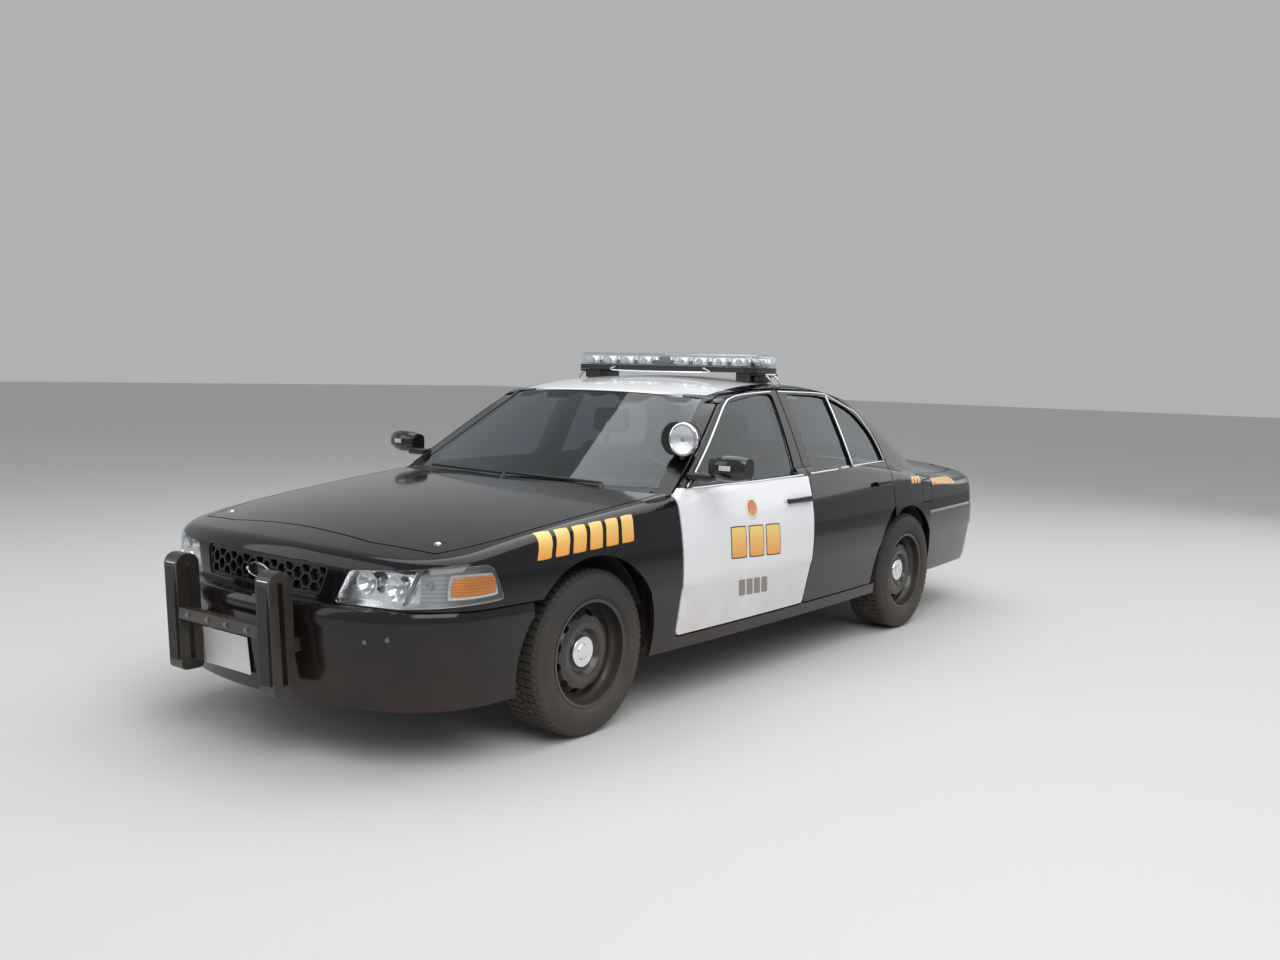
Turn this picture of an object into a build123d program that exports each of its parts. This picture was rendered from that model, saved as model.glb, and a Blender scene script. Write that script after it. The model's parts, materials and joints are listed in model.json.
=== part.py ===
# Police patrol car: a large four-door sedan with a push bumper, a roof lightbar and a spotlight.
# Millimetres. +X is forward, +Y is the car's left, +Z is up. The origin is on the floor, midway
# along the overall length.
import os
from functools import cache
from math import atan2, cos, degrees, hypot, radians, sin, sqrt

from build123d import *

# Overall sizes
WHEELBASE = 2912.0
FRONT_AXLE_X = 1551.0
REAR_AXLE_X = FRONT_AXLE_X - WHEELBASE
FRONT_TRACK = 1610.0
REAR_TRACK = 1666.0
HALF_WIDTH = 985.0
WIDEST_X = -150.0
SIDE_RADIUS = 30000.0
NOSE_X = 2500.0
NOSE_RADIUS = 2400.0
NOSE_CORNER = 330.0
FRONT_BUMPER_X = 2586.0
FRONT_BUMPER_RADIUS = 1750.0
FRONT_BUMPER_CORNER = 430.0
TAIL_X = -2735.0
TAIL_RADIUS = 3000.0
TAIL_CORNER = 260.0
REAR_BUMPER_X = -2798.0
REAR_BUMPER_RADIUS = 2500.0
REAR_BUMPER_CORNER = 330.0
REAR_BUMPER_FRONT_X = -1700.0
PUSH_BUMPER_X = 2690.0
ORIGIN_X = (PUSH_BUMPER_X + REAR_BUMPER_X) / 2

# Gaps and walls
PANEL_GAP = 8.5
SEAM = 0.8
FIT = 0.3
SKIN = 22.0
DOOR_DEPTH = 130.0
FRAME_DEPTH = 62.0
SHOULDER_RADIUS = 70.0
CANTRAIL_RADIUS = 45.0
GLASS = 5.0
GLASS_INSET = 12.0

# Heights
BODY_LOW = 200.0
SILL_BOTTOM = 262.0
DOOR_BOTTOM = 328.0
CREASE_Z = 552.0

# Wheels
TYRE_RADIUS = 345.0
TYRE_WIDTH = 235.0
RIM_RADIUS = 224.0
FRONT_ARCH = 405.0
REAR_ARCH = 395.0
DOOR_ARCH = 455.0

# Height of the hood, belt and deck surface: place, middle height, height 850 mm to the side
TOP_TABLE = (
    (2600, 775, 690),
    (2240, 858, 792),
    (1650, 935, 887),
    (1000, 990, 957),
    (-1000, 1030, 1002),
    (-2800, 965, 915),
)
TOP_HALF = 850.0

# Height of the roof surface: place, middle height, height 600 mm to the side
ROOF_TABLE = (
    (1400, 1120, 1085),
    (410, 1402, 1370),
    (-100, 1474, 1443),
    (-450, 1476, 1444),
    (-800, 1440, 1404),
    (-1900, 1165, 1130),
)
ROOF_HALF = 600.0

# Rake of the two big windows: height, place at the middle, radius in plan
WINDSHIELD_TABLE = ((880, 1256, 2300), (1520, 216, 2300))
BACKLIGHT_TABLE = ((880, -1762, 4000), (1520, -770, 4000))

# Side view outlines of the left side: place, height, corner radius
DOOR_FRONT_X = 981.0
PILLAR_TOP_X = -178.0
PILLAR_MIDDLE_X = -160.0
PILLAR_FOOT_X = -108.0
FRONT_DOOR = (
    (DOOR_FRONT_X, DOOR_BOTTOM, 25), (DOOR_FRONT_X, 962, 35), (897, 998, 40), (345, 1378, 300),
    (60, 1412, 1000), (PILLAR_TOP_X, 1418, 6), (PILLAR_MIDDLE_X, 780, 300),
    (PILLAR_FOOT_X, DOOR_BOTTOM, 20),
)
FRONT_LIGHT = (
    (778, 984, 14), (778, 1044, 18), (338, 1354, 300), (60, 1392, 1000), (-124, 1398, 25), (-76, 992, 25),
)
REAR_DOOR = (
    (PILLAR_FOOT_X - PANEL_GAP, DOOR_BOTTOM, 20), (PILLAR_MIDDLE_X - PANEL_GAP, 780, 300),
    (PILLAR_TOP_X - PANEL_GAP, 1418, 6), (-704, 1406, 900),
    (-985, 1306, 380), (-1134, 1126, 300), (-1158, 990, 120), (-1155, 600, 0), (-1155, DOOR_BOTTOM, 0),
)
REAR_LIGHT = (
    (-262, 1397, 20), (-700, 1386, 900), (-972, 1288, 380), (-1112, 1118, 300), (-1132, 1006, 20),
    (-250, 996, 20),
)
DIVISION_TOP = (-701, 1420)
DIVISION_FOOT = (-716, 980)
DIVISION_WIDTH = 24.0

# Pull handles: rear end, front end, middle height
FRONT_HANDLE = (-137.0, 97.0, 870.0)
REAR_HANDLE = (-1113.0, -909.0, 896.0)
HANDLE_HEIGHT = 30.0
HANDLE_INSET = 8.0
HANDLE_DEPTH = 14.0

# Plan outline of the hood's left half and of the trunk lid's left half: place, distance from the middle
HOOD = (
    (2292, 0), (2303, 440), (2240, 725), (2110, 772), (1982, 798), (1650, 818), (1224, 832), (900, 832),
    (900, 0),
)
HOOD_REAR_X = 1190.0
HOOD_REAR_RADIUS = 2004.0

os.makedirs("parts", exist_ok=True)


def save(part, name):
    """Write one node, with the origin midway along the overall length."""
    placed = part.moved(Location((-ORIGIN_X, 0, 0)))
    placed.label = name
    export_step(placed, "parts/" + name + ".step")


# Plan of the body: long side arcs joined to the nose and the tail by tighter corner arcs
SIDE_CENTRE = (WIDEST_X, HALF_WIDTH - SIDE_RADIUS)


def corner_centre(end_centre, end_radius, corner, front):
    """Centre of the corner arc that touches an end arc and the side arc from inside."""
    ax, ay = end_centre
    bx, by = SIDE_CENTRE
    ra, rb = end_radius - corner, SIDE_RADIUS - corner
    dx, dy = bx - ax, by - ay
    d = hypot(dx, dy)
    along = (ra * ra - rb * rb + d * d) / (2 * d)
    across = sqrt(ra * ra - along * along)
    mx, my = ax + along * dx / d, ay + along * dy / d
    one = (mx + across * dy / d, my - across * dx / d)
    two = (mx - across * dy / d, my + across * dx / d)
    return one if (one[0] > two[0]) == front else two


def bearing(centre, other):
    return degrees(atan2(other[1] - centre[1], other[0] - centre[0]))


def plan_arcs(tip_x, end_radius, corner, front):
    """Centres and radii of the end arc and the left corner arc, with the two angles they meet at."""
    sign = 1 if front else -1
    end = (tip_x - sign * end_radius, 0.0)
    centre = corner_centre(end, end_radius, corner, front)
    end_angle = bearing(end, centre)
    side_angle = bearing(SIDE_CENTRE, centre)
    return end, centre, end_angle, side_angle


def side_y(x):
    """Half width of the body at its widest height."""
    return HALF_WIDTH - (x - WIDEST_X) ** 2 / (2 * SIDE_RADIUS)


# Upright profiles, drawn as a distance out from the plan arc and a height
def body_profile(depth, inset):
    """Side of the body: a tucked sill, a crease and one long arc up to the shoulder."""
    with BuildSketch() as sketch:
        with BuildLine():
            Polyline((-depth, BODY_LOW), (-58 - inset, BODY_LOW), (-38 - inset, 330), (-8 - inset, 532),
                     (-1 - inset, CREASE_Z))
            ThreePointArc((-1 - inset, CREASE_Z), (-17 - inset, 800), (-106 - inset, 1100))
            Polyline((-106 - inset, 1100), (-depth, 1100), (-depth, BODY_LOW))
        make_face()
    return sketch.sketch


def window_profile(depth, inset):
    """Side of the cabin: one shallow arc leaning in to the roof."""
    with BuildSketch() as sketch:
        with BuildLine():
            ThreePointArc((-52 - inset, 915), (-168 - inset, 1192), (-322 - inset, 1480))
            Polyline((-322 - inset, 1480), (-depth, 1480), (-depth, 915), (-52 - inset, 915))
        make_face()
    return sketch.sketch


def swing(profile, centre, radius, start, stop):
    """Turn an upright profile about the vertical through an arc's centre."""
    out = (cos(radians(start)), sin(radians(start)), 0)
    origin = (centre[0] + radius * out[0], centre[1] + radius * out[1], 0)
    plane = Plane(origin=origin, x_dir=out, z_dir=(out[1], -out[0], 0))
    with BuildPart() as piece:
        with BuildSketch(plane):
            add(profile)
        revolve(axis=Axis((centre[0], centre[1], 0), (0, 0, 1)), revolution_arc=stop - start)
    return piece.part


def mirrored(part):
    return part.mirror(Plane.XZ)


def both(part):
    """A left-hand solid and its mirror image in one node."""
    with BuildPart() as pair:
        add(part)
        add(mirrored(part))
    return pair.part


def end_band(profile, arcs, end_radius, corner, front, side_to):
    """Band of a profile round one end of the car and along its left side to side_to, a place in x."""
    end, centre, end_angle, side_angle = arcs
    to_angle = bearing(SIDE_CENTRE, (side_to, side_y(side_to)))
    with BuildPart() as band:
        if front:
            add(swing(profile, end, end_radius, 0, end_angle))
            add(swing(profile, centre, corner, end_angle, side_angle))
            add(swing(profile, SIDE_CENTRE, SIDE_RADIUS, side_angle, to_angle))
        else:
            add(swing(profile, end, end_radius, end_angle, 180))
            add(swing(profile, centre, corner, side_angle, end_angle))
            add(swing(profile, SIDE_CENTRE, SIDE_RADIUS, to_angle, side_angle))
    return band.part


NOSE_ARCS = plan_arcs(NOSE_X, NOSE_RADIUS, NOSE_CORNER, True)
TAIL_ARCS = plan_arcs(TAIL_X, TAIL_RADIUS, TAIL_CORNER, False)


@cache
def body_ring(depth, inset=0.0):
    """Left half of the body's outer band, nose to tail."""
    profile = body_profile(depth, inset)
    front = end_band(profile, NOSE_ARCS, NOSE_RADIUS, NOSE_CORNER, True, WIDEST_X)
    rear = end_band(profile, TAIL_ARCS, TAIL_RADIUS, TAIL_CORNER, False, WIDEST_X)
    with BuildPart() as ring:
        add(front)
        add(rear)
    return ring.part


@cache
def crowned(table, half, low, drop=0.0):
    """Solid under a surface that is an arc across the car at each place of a table."""
    width = 1100.0
    with BuildPart() as solid:
        for x, middle, edge in table:
            top = middle - drop
            side = top - (middle - edge) * (width / half) ** 2
            with BuildSketch(Plane((x, 0, 0), x_dir=(0, 1, 0), z_dir=(1, 0, 0))):
                with BuildLine():
                    ThreePointArc((-width, side), (0, top), (width, side))
                    Polyline((width, side), (width, low), (-width, low), (-width, side))
                make_face()
        loft()
    return solid.part


def under_top(drop=0.0):
    """Solid under the surface of the hood, belt and deck."""
    return crowned(TOP_TABLE, TOP_HALF, 150.0, drop)


def under_roof(drop=0.0):
    """Solid under the roof surface."""
    return crowned(ROOF_TABLE, ROOF_HALF, 800.0, drop)


def raked(table, behind, shift):
    """Solid on the cabin's side of a raked window: the windshield for behind 1, the rear one for -1."""
    wide = 1000.0
    far = -behind * 2500.0
    with BuildPart() as solid:
        for height, middle, radius in table:
            place = middle - behind * shift
            side = place - behind * (radius - sqrt(radius * radius - wide * wide))
            with BuildSketch(Plane.XY.offset(height)):
                with BuildLine():
                    ThreePointArc((side, -wide), (place, 0), (side, wide))
                    Polyline((side, wide), (far, wide), (far, -wide), (side, -wide))
                make_face()
        loft(ruled=True)
    return solid.part


def outline(table, grow=0.0):
    """Closed side view outline with rounded corners, made larger or smaller all round by grow."""
    with BuildSketch() as sketch:
        with BuildLine():
            FilletPolyline(*[(x, z) for x, z, _ in table], radius=[r for _, _, r in table], close=True)
        make_face()
        if grow:
            offset(amount=grow, kind=Kind.INTERSECTION)
    return sketch.sketch


def through(sketch, near=0.0, far=1300.0):
    """Push a side view outline through the left side, from y = near to y = far."""
    with BuildPart() as prism:
        with BuildSketch(Plane.XZ.offset(-far)):
            add(sketch)
        extrude(amount=far - near)
    return prism.part


def standing(points, low=0.0, high=1600.0):
    """Upright prism on a plan outline given by its corners."""
    with BuildPart() as prism:
        with BuildSketch(Plane.XY.offset(low)):
            Polygon(*points, align=None)
        extrude(amount=high - low)
    return prism.part


def block(x0, x1, y0, y1, z0, z1):
    """Box between two places on each axis."""
    with BuildPart() as solid:
        with Locations(((x0 + x1) / 2, (y0 + y1) / 2, (z0 + z1) / 2)):
            Box(x1 - x0, y1 - y0, z1 - z0)
    return solid.part


def common(first, *others):
    with BuildPart() as solid:
        add(first)
        for other in others:
            add(other, mode=Mode.INTERSECT)
    return solid.part


def less(first, *others):
    with BuildPart() as solid:
        add(first)
        for other in others:
            add(other, mode=Mode.SUBTRACT)
    return solid.part


def joined(*solids):
    with BuildPart() as solid:
        for one in solids:
            add(one)
    return solid.part


def largest(solid):
    """The biggest solid of a part, without the remnants that crossing cuts leave inside it."""
    with BuildPart() as kept:
        add(solid.solids().sort_by(SortBy.VOLUME)[-1])
    return kept.part


def plan_offset(x, y):
    """Distance of a point outside the plan arcs of the body."""
    y = abs(y)
    for arcs, radius, corner, front in (
        (NOSE_ARCS, NOSE_RADIUS, NOSE_CORNER, True),
        (TAIL_ARCS, TAIL_RADIUS, TAIL_CORNER, False),
    ):
        end, centre, end_angle, side_angle = arcs
        angle = bearing(centre, (x, y))
        if min(end_angle, side_angle) <= angle <= max(end_angle, side_angle):
            return hypot(x - centre[0], y - centre[1]) - corner
        beyond = bearing(end, (x, y))
        at_end = x > centre[0] and beyond < end_angle if front else x < centre[0] and beyond > end_angle
        if at_end:
            return hypot(x - end[0], y - end[1]) - radius
    return hypot(x - SIDE_CENTRE[0], y - SIDE_CENTRE[1]) - SIDE_RADIUS


def shoulder_edges(part):
    """Edges where the side of the body meets its top, on the outside."""
    found = []
    for edge in part.edges():
        start, middle, stop = edge @ 0, edge @ 0.5, edge @ 1
        on_middle = abs(start.Y) < 1 and abs(stop.Y) < 1
        if min(start.Z, stop.Z) > 700 and -125 < plan_offset(middle.X, middle.Y) < 0 and not on_middle:
            found.append(edge)
    return found


# The body's outside and the surfaces inside its skin, left half
BAND = 250.0


@cache
def body_half(inset=0.0):
    """Left half of the body's outer band, under its top surface, with a rounded shoulder."""
    with BuildPart() as half:
        add(body_ring(BAND, inset))
        add(under_top(inset), mode=Mode.INTERSECT)
        fillet(shoulder_edges(half.part), radius=SHOULDER_RADIUS - inset)
    return half.part


@cache
def cabin(inset=0.0):
    """Outside of the cabin above the belt, from the windshield to the rear window."""
    start, stop = bearing(SIDE_CENTRE, (1500, side_y(1500))), bearing(SIDE_CENTRE, (-1900, side_y(-1900)))
    left = swing(window_profile(2000.0, inset), SIDE_CENTRE, SIDE_RADIUS, start, stop)
    with BuildPart() as solid:
        add(left)
        add(mirrored(left), mode=Mode.INTERSECT)
        add(under_roof(inset), mode=Mode.INTERSECT)
        add(raked(WINDSHIELD_TABLE, 1, inset), mode=Mode.INTERSECT)
        add(raked(BACKLIGHT_TABLE, -1, inset), mode=Mode.INTERSECT)
    return solid.part


def side_core(depth, roof_skin):
    """Room behind the cabin's left side wall at a depth, up to just under the roof."""
    start, stop = bearing(SIDE_CENTRE, (1150, side_y(1150))), bearing(SIDE_CENTRE, (-1600, side_y(-1600)))
    wall = swing(window_profile(700.0, depth), SIDE_CENTRE, SIDE_RADIUS, start, stop)
    return common(wall, under_roof(roof_skin))


def rounded_cabin():
    """Outside of the cabin with its roof, windshield and rear window edges rounded."""
    solid = cabin()
    edges = []
    for edge in solid.edges():
        start, middle, stop = edge @ 0, edge @ 0.5, edge @ 1
        along_side = edge.length > 500 and abs(middle.Y) > 600 and abs(start.Y - stop.Y) < 450
        if middle.Z > 1380 or (along_side and middle.Z > 1000):
            edges.append(edge)
    with BuildPart() as rounded:
        add(solid)
        fillet([e for e in rounded.edges() if any((e @ 0.5 - f @ 0.5).length < 1 for f in edges)],
               radius=CANTRAIL_RADIUS)
    return rounded.part


DOOR_ZONE = block(-1240, 1000, 500, 1100, 200, 1200)
FRAME_ZONE = block(-1400, 1050, 660, 1100, 945, 1500)
RAIL_SKIN = 12.0
OUTER = body_half()
UNDER_SKIN = body_half(SKIN)
with BuildSketch() as inner_profile:
    with Locations((-DOOR_DEPTH - 300, 700)):
        Rectangle(600, 1200)
INNER_WALL = swing(
    inner_profile.sketch, SIDE_CENTRE, SIDE_RADIUS,
    bearing(SIDE_CENTRE, (1400, side_y(1400))), bearing(SIDE_CENTRE, (-1500, side_y(-1500))),
)
DOOR_SIDE = less(common(OUTER, DOOR_ZONE), INNER_WALL)
DOOR_10 = common(body_half(10.0), DOOR_ZONE)
DOOR_24 = common(body_half(24.0), DOOR_ZONE)
DOOR_33 = common(body_half(33.0), DOOR_ZONE)
DOOR_42 = common(body_half(42.0), DOOR_ZONE)
CABIN = rounded_cabin()
CABIN_SKIN = cabin(SKIN)
CABIN_IN = cabin(FRAME_DEPTH)
DOOR_CABIN = less(common(CABIN, FRAME_ZONE), side_core(FRAME_DEPTH, RAIL_SKIN))
FRAME_10 = side_core(10.0, RAIL_SKIN)
FRAME_24 = side_core(24.0, RAIL_SKIN)
FRAME_33 = side_core(33.0, RAIL_SKIN + 8.0)
FRONT_CUT = outline(FRONT_DOOR, PANEL_GAP)
REAR_CUT = outline(REAR_DOOR, PANEL_GAP)


def side_prism(table, y0, y1):
    """Prism on an outline seen from the side: place, height, corner radius."""
    return through(outline(table), y0, y1)


def drum(centre, radius, length, direction=(0, 1, 0)):
    """Round bar of a given length whose near end is centred on a point."""
    with BuildPart() as bar:
        with BuildSketch(Plane(origin=centre, z_dir=direction)):
            Circle(radius)
        extrude(amount=length)
    return bar.part


def arch(axle_x, radius, near=500.0):
    """Round of a wheel opening through the left side."""
    with BuildPart() as cylinder:
        with BuildSketch(Plane.XZ.offset(-1200)):
            with Locations((axle_x, TYRE_RADIUS)):
                Circle(radius)
        extrude(amount=1200 - near)
    return cylinder.part


def ring(table, outside, inside):
    """Side view ring between an outline grown by outside and the same outline grown by inside."""
    return less(through(outline(table, outside), 550.0), through(outline(table, inside), 550.0))


def stepped(solid, table, under_10, under_24, inset):
    """Cut a door panel back in two steps, so that a thin lip laps over the body round it."""
    lip = common(under_10, ring(table, 20.0, -6.0))
    box = common(under_24, ring(table, 20.0, -inset))
    return less(solid, lip, box)


def door(table, light, wheel_cut):
    """Left door: a thin outer lip over the body, then a deep inner box set in from its outline."""
    prism = through(outline(table), 550.0)
    lower = stepped(common(DOOR_SIDE, prism), table, DOOR_10, DOOR_24, 50.0)
    whole_door = stepped(joined(lower, common(DOOR_CABIN, prism)), table, FRAME_10, FRAME_24, 30.0)
    cuts = [through(outline(light), 500.0)]
    if wheel_cut:
        cuts.append(arch(REAR_AXLE_X, DOOR_ARCH))
    return less(whole_door, *cuts)


def handle(table):
    """Pull handle: a rounded bar that stands off the door on two feet."""
    rear, front, z = table
    half = HANDLE_HEIGHT / 2
    with BuildSketch() as section:
        with Locations((-HANDLE_INSET - HANDLE_DEPTH / 2, z)):
            Rectangle(HANDLE_DEPTH, 2 * HANDLE_HEIGHT)
    band = swing(section.sketch, SIDE_CENTRE, SIDE_RADIUS,
                 bearing(SIDE_CENTRE, (front + 50, side_y(front + 50))),
                 bearing(SIDE_CENTRE, (rear - 50, side_y(rear - 50))))
    bar = common(band, side_prism(((rear, z - half, 13), (rear, z + half, 13), (front, z + half - 3, 12),
                                   (front, z - half + 3, 11)), 800, 1100))
    with BuildPart() as rounded:
        add(bar)
        fillet(rounded.faces().sort_by(Axis.Y)[-1].edges(), radius=5)
    feet = [block(x - 13, x + 13, side_y(x) - 42, side_y(x) - 14, z - 10, z + 10)
            for x in (rear + 24, front - 24)]
    return joined(rounded.part, *feet)


def division():
    """Upright bar between the rear door's two panes."""
    (tx, tz), (fx, fz) = DIVISION_TOP, DIVISION_FOOT
    half = DIVISION_WIDTH / 2
    with BuildSketch() as bar:
        Polygon((tx - half, tz), (tx + half, tz), (fx + half, fz), (fx - half, fz), align=None)
    return through(bar.sketch, 550.0)


front_door = joined(door(FRONT_DOOR, FRONT_LIGHT, False), handle(FRONT_HANDLE))
rear_door = joined(door(REAR_DOOR, REAR_LIGHT, True), handle(REAR_HANDLE))
bar = less(common(CABIN, division(), through(outline(REAR_LIGHT, 1.0), 550.0)), FRAME_24)
rear_door = joined(rear_door, bar)
PANE = less(cabin(GLASS_INSET), cabin(GLASS_INSET + GLASS))
front_pane = common(PANE, through(outline(FRONT_LIGHT, -0.4), 550.0))
rear_pane = less(common(PANE, through(outline(REAR_LIGHT, -0.4), 550.0)), division())


# Openings of the windshield and the rear window, seen from the front: distance from the middle, height
def window_opening(half_top, top, half_foot, foot, crown, ahead, grow=0.0):
    with BuildPart() as prism:
        with BuildSketch(Plane.YZ.offset(0 if ahead else -2400)):
            with BuildLine():
                Polyline((half_top, top), (half_foot, foot), (-half_foot, foot), (-half_top, top))
                ThreePointArc((-half_top, top), (0, top + crown), (half_top, top))
            make_face()
            if grow:
                offset(amount=grow, kind=Kind.INTERSECTION)
        extrude(amount=1700 if ahead else 1900)
    return prism.part


WINDSHIELD_OPENING = (612, 1374, 788, 975, 18, True)
BACKLIGHT_OPENING = (545, 1342, 655, 1068, 14, False)
windshield = common(less(cabin(5.0), cabin(11.0)), window_opening(*WINDSHIELD_OPENING, -0.4))
windshield = common(windshield, block(150, 1400, -900, 900, 900, 1500))
rear_window = common(less(cabin(5.0), cabin(10.0)), window_opening(*BACKLIGHT_OPENING, -0.4))
rear_window = common(rear_window, block(-1800, -500, -900, 900, 900, 1500))

# Roof panel and the body shell that carries it
ROOF_PLAN = ((480, 0), (400, 400), (330, 606), (-760, 606), (-905, 520), (-930, 0))


def whole(points):
    """Full outline from the corners of its left half."""
    return points + tuple((x, -y) for x, y in reversed(points) if y > 0)


ROOF_SKIN = less(CABIN, CABIN_SKIN)
WINDOWS = joined(
    common(window_opening(*WINDSHIELD_OPENING), block(150, 1700, -1000, 1000, 900, 1500)),
    common(window_opening(*BACKLIGHT_OPENING), block(-2400, -500, -1000, 1000, 900, 1500)),
)
roof_panel = less(common(ROOF_SKIN, standing(whole(ROOF_PLAN), 1300)), WINDOWS)

DECK_FRONT_X = -1535.0
DECK = (
    (DECK_FRONT_X, 0), (DECK_FRONT_X - 10, 640), (DECK_FRONT_X - 75, 742), (-2100, 735), (-2530, 705),
    (-2548, 560), (-2900, 560), (-2900, 0),
)
DECK_FACE_Z = 700.0
TOP_SKIN = less(under_top(), under_top(SKIN))
DEEP_BODY = body_half(60.0)
SILL_REAR_X = REAR_DOOR[6][0] - PANEL_GAP - 0.1
SILL_FRONT_X = 989.0


def front_prism(table, x0, x1, grow=0.0):
    """Prism on an outline seen from the front: distance to the left, height, corner radius."""
    with BuildPart() as prism:
        with BuildSketch(Plane.YZ.offset(x0)):
            with BuildLine():
                FilletPolyline(*[(y, z) for y, z, _ in table], radius=[r for _, _, r in table], close=True)
            make_face()
            if grow:
                offset(amount=grow, kind=Kind.INTERSECTION)
        extrude(amount=x1 - x0)
    return prism.part


def plan_prism(table, z0, z1):
    """Prism on an outline seen from above: place, distance to the left, corner radius."""
    with BuildPart() as prism:
        with BuildSketch(Plane.XY.offset(z0)):
            with BuildLine():
                FilletPolyline(*[(x, y) for x, y, _ in table], radius=[r for _, _, r in table], close=True)
            make_face()
        extrude(amount=z1 - z0)
    return prism.part


def plan_zone(points, grow, low, high):
    """Upright prism on a plan outline made larger or smaller all round by grow."""
    with BuildPart() as prism:
        with BuildSketch(Plane.XY.offset(low)):
            Polygon(*points, align=None)
            offset(amount=grow, kind=Kind.INTERSECTION)
        extrude(amount=high - low)
    return prism.part


# Tail lamp outline seen from behind
TAIL_LAMP = (
    (574, 722, 12), (574, 884, 20), (720, 896, 300), (985, 868, 40), (1005, 742, 30), (900, 722, 80),
)
TAIL_LAMP_FRONT_X = -2560.0
FUEL_DOOR = ((-1590, 740, 24), (-1590, 880, 24), (-1740, 880, 24), (-1740, 740, 24))


def tail_lamp_zone(grow=0.0):
    return front_prism(TAIL_LAMP, -2900.0, TAIL_LAMP_FRONT_X + grow, grow)


COWL_HALF = 770.0
DECK_PANEL_HALF = 655.0
DECK_PANEL_FRONT_X = -1150.0
COWL_DROP = 16.0


def cowl_zone():
    """Room of the cowl panel and of the strip under the windshield."""
    return block(560, 1400, -COWL_HALF, COWL_HALF, 800, 975)


def deck_zone():
    """Room of the panel between the rear window and the trunk lid."""
    return block(-2000, DECK_PANEL_FRONT_X, -DECK_PANEL_HALF, DECK_PANEL_HALF, 800, 1068)


def cabin_side():
    """Left pillars and roof rail, cut for the two doors."""
    side = common(less(CABIN, CABIN_IN), block(DECK_FRONT_X, SILL_FRONT_X, 0, 1100, 915, 1600))
    roof_room = less(plan_zone(ROOF_PLAN, FIT, 1300, 1600), cabin(SKIN + FIT))
    deck_room = common(under_top(-FIT), block(-2000, DECK_PANEL_FRONT_X + FIT, -1, 736, 800, 1100))
    side = less(side, roof_room, deck_room, WINDOWS, cowl_zone(), deck_zone())
    side = less(side, block(-1200, 700, -1, 500, 1300, 1500))
    for table, cut in ((FRONT_DOOR, FRONT_CUT), (REAR_DOOR, REAR_CUT)):
        side = less(side, through(outline(table, -16.0), 450.0), less(through(cut, 480.0), FRAME_33))
    return side


def body_side():
    """Left side of the body: pillars, roof rail, sill and rear quarter."""
    jamb = joined(
        less(DOOR_33, block(930, 1000, 500, 1100, 250, 1100), block(-230, -60, 500, 1100, 250, 700)), DOOR_42
    )
    lower = common(DOOR_SIDE, block(SILL_REAR_X, SILL_FRONT_X, 500, 1100, SILL_BOTTOM, 945))
    for table, cut in ((FRONT_DOOR, FRONT_CUT), (REAR_DOOR, REAR_CUT)):
        lower = less(lower, less(through(cut, 500.0), jamb), through(outline(table, -36.0), 500.0))
    quarter = common(less(OUTER, UNDER_SKIN), block(-2900, SILL_REAR_X, 0, 1100, SILL_BOTTOM, 1100))
    quarter = less(quarter, block(-2900, REAR_BUMPER_FRONT_X + 2, 0, 1100, 0, REAR_BUMPER_TOP + SEAM),
                   standing(DECK, DECK_FACE_Z, 1200))
    quarter = less(quarter, tail_lamp_zone(1.0), block(-2900, -2400, -10, 560, DECK_FACE_Z, 1200),
                   side_prism(FUEL_DOOR, 800, 1100))
    return largest(less(joined(cabin_side(), lower, quarter), arch(REAR_AXLE_X, REAR_ARCH)))


def deck_panel():
    """Panel between the rear window and the trunk lid, which goes on inside as the parcel shelf."""
    ring_side = body_ring(BAND + FIT)
    panel = common(TOP_SKIN, block(DECK_FRONT_X, DECK_PANEL_FRONT_X, -900, 900, 900, 1100))
    panel = less(panel, ring_side, mirrored(ring_side))
    foot = common(less(cabin(), CABIN_IN), deck_zone(),
                  block(DECK_FRONT_X, DECK_PANEL_FRONT_X, -900, 900, 985, 1068))
    return joined(panel, foot)


def cowl_panel():
    """Sunk panel under the hood's rear edge, with the strip that carries the windshield's foot."""
    sheet = common(less(under_top(COWL_DROP), under_top(COWL_DROP + 12)),
                   block(940, 1250, -COWL_HALF, COWL_HALF, 800, 1100),
                   drum((HOOD_REAR_X - HOOD_REAR_RADIUS - 6, 0, 600), HOOD_REAR_RADIUS, 600, (0, 0, 1)))
    foot = common(less(cabin(), CABIN_IN), cowl_zone(), block(560, 1400, -900, 900, 915, 975))
    return joined(sheet, foot)


def hood():
    plate = common(TOP_SKIN, standing(whole(HOOD), 600, 1200))
    with BuildPart() as cowl_edge:
        with Locations((HOOD_REAR_X - HOOD_REAR_RADIUS, 0, 900)):
            Cylinder(HOOD_REAR_RADIUS, 900)
    return less(plate, cowl_edge.part)


HOOD_CUT = plan_zone(whole(HOOD), PANEL_GAP, 600, 1200)

# Headlamp outline on a plane that faces the corner: distance across, height, corner radius
LAMP = (
    (-1444, 616, 12), (-1196, 619, 0), (-815, 640, 12), (-862, 776, 45), (-1131, 764, 200), (-1384, 742, 25),
)


def lamp_prism(grow=0.0):
    with BuildPart() as prism:
        with BuildSketch(Plane(origin=(1200, 1200, 0), x_dir=(-1, 1, 0), z_dir=(1, 1, 0))):
            with BuildLine():
                FilletPolyline(*[(w, z) for w, z, _ in LAMP], radius=[r for _, _, r in LAMP], close=True)
            make_face()
            if grow:
                offset(amount=grow, kind=Kind.INTERSECTION)
        extrude(amount=1200)
    return prism.part


FENDER_FRONT_X = 2240.0
FRONT_BUMPER_TOP = 612.0
FRONT_BUMPER_LOW = 232.0
REAR_BUMPER_TOP = 690.0
REAR_BUMPER_LOW = 290.0
GRILLE = ((392, 754), (352, 632))


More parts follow.
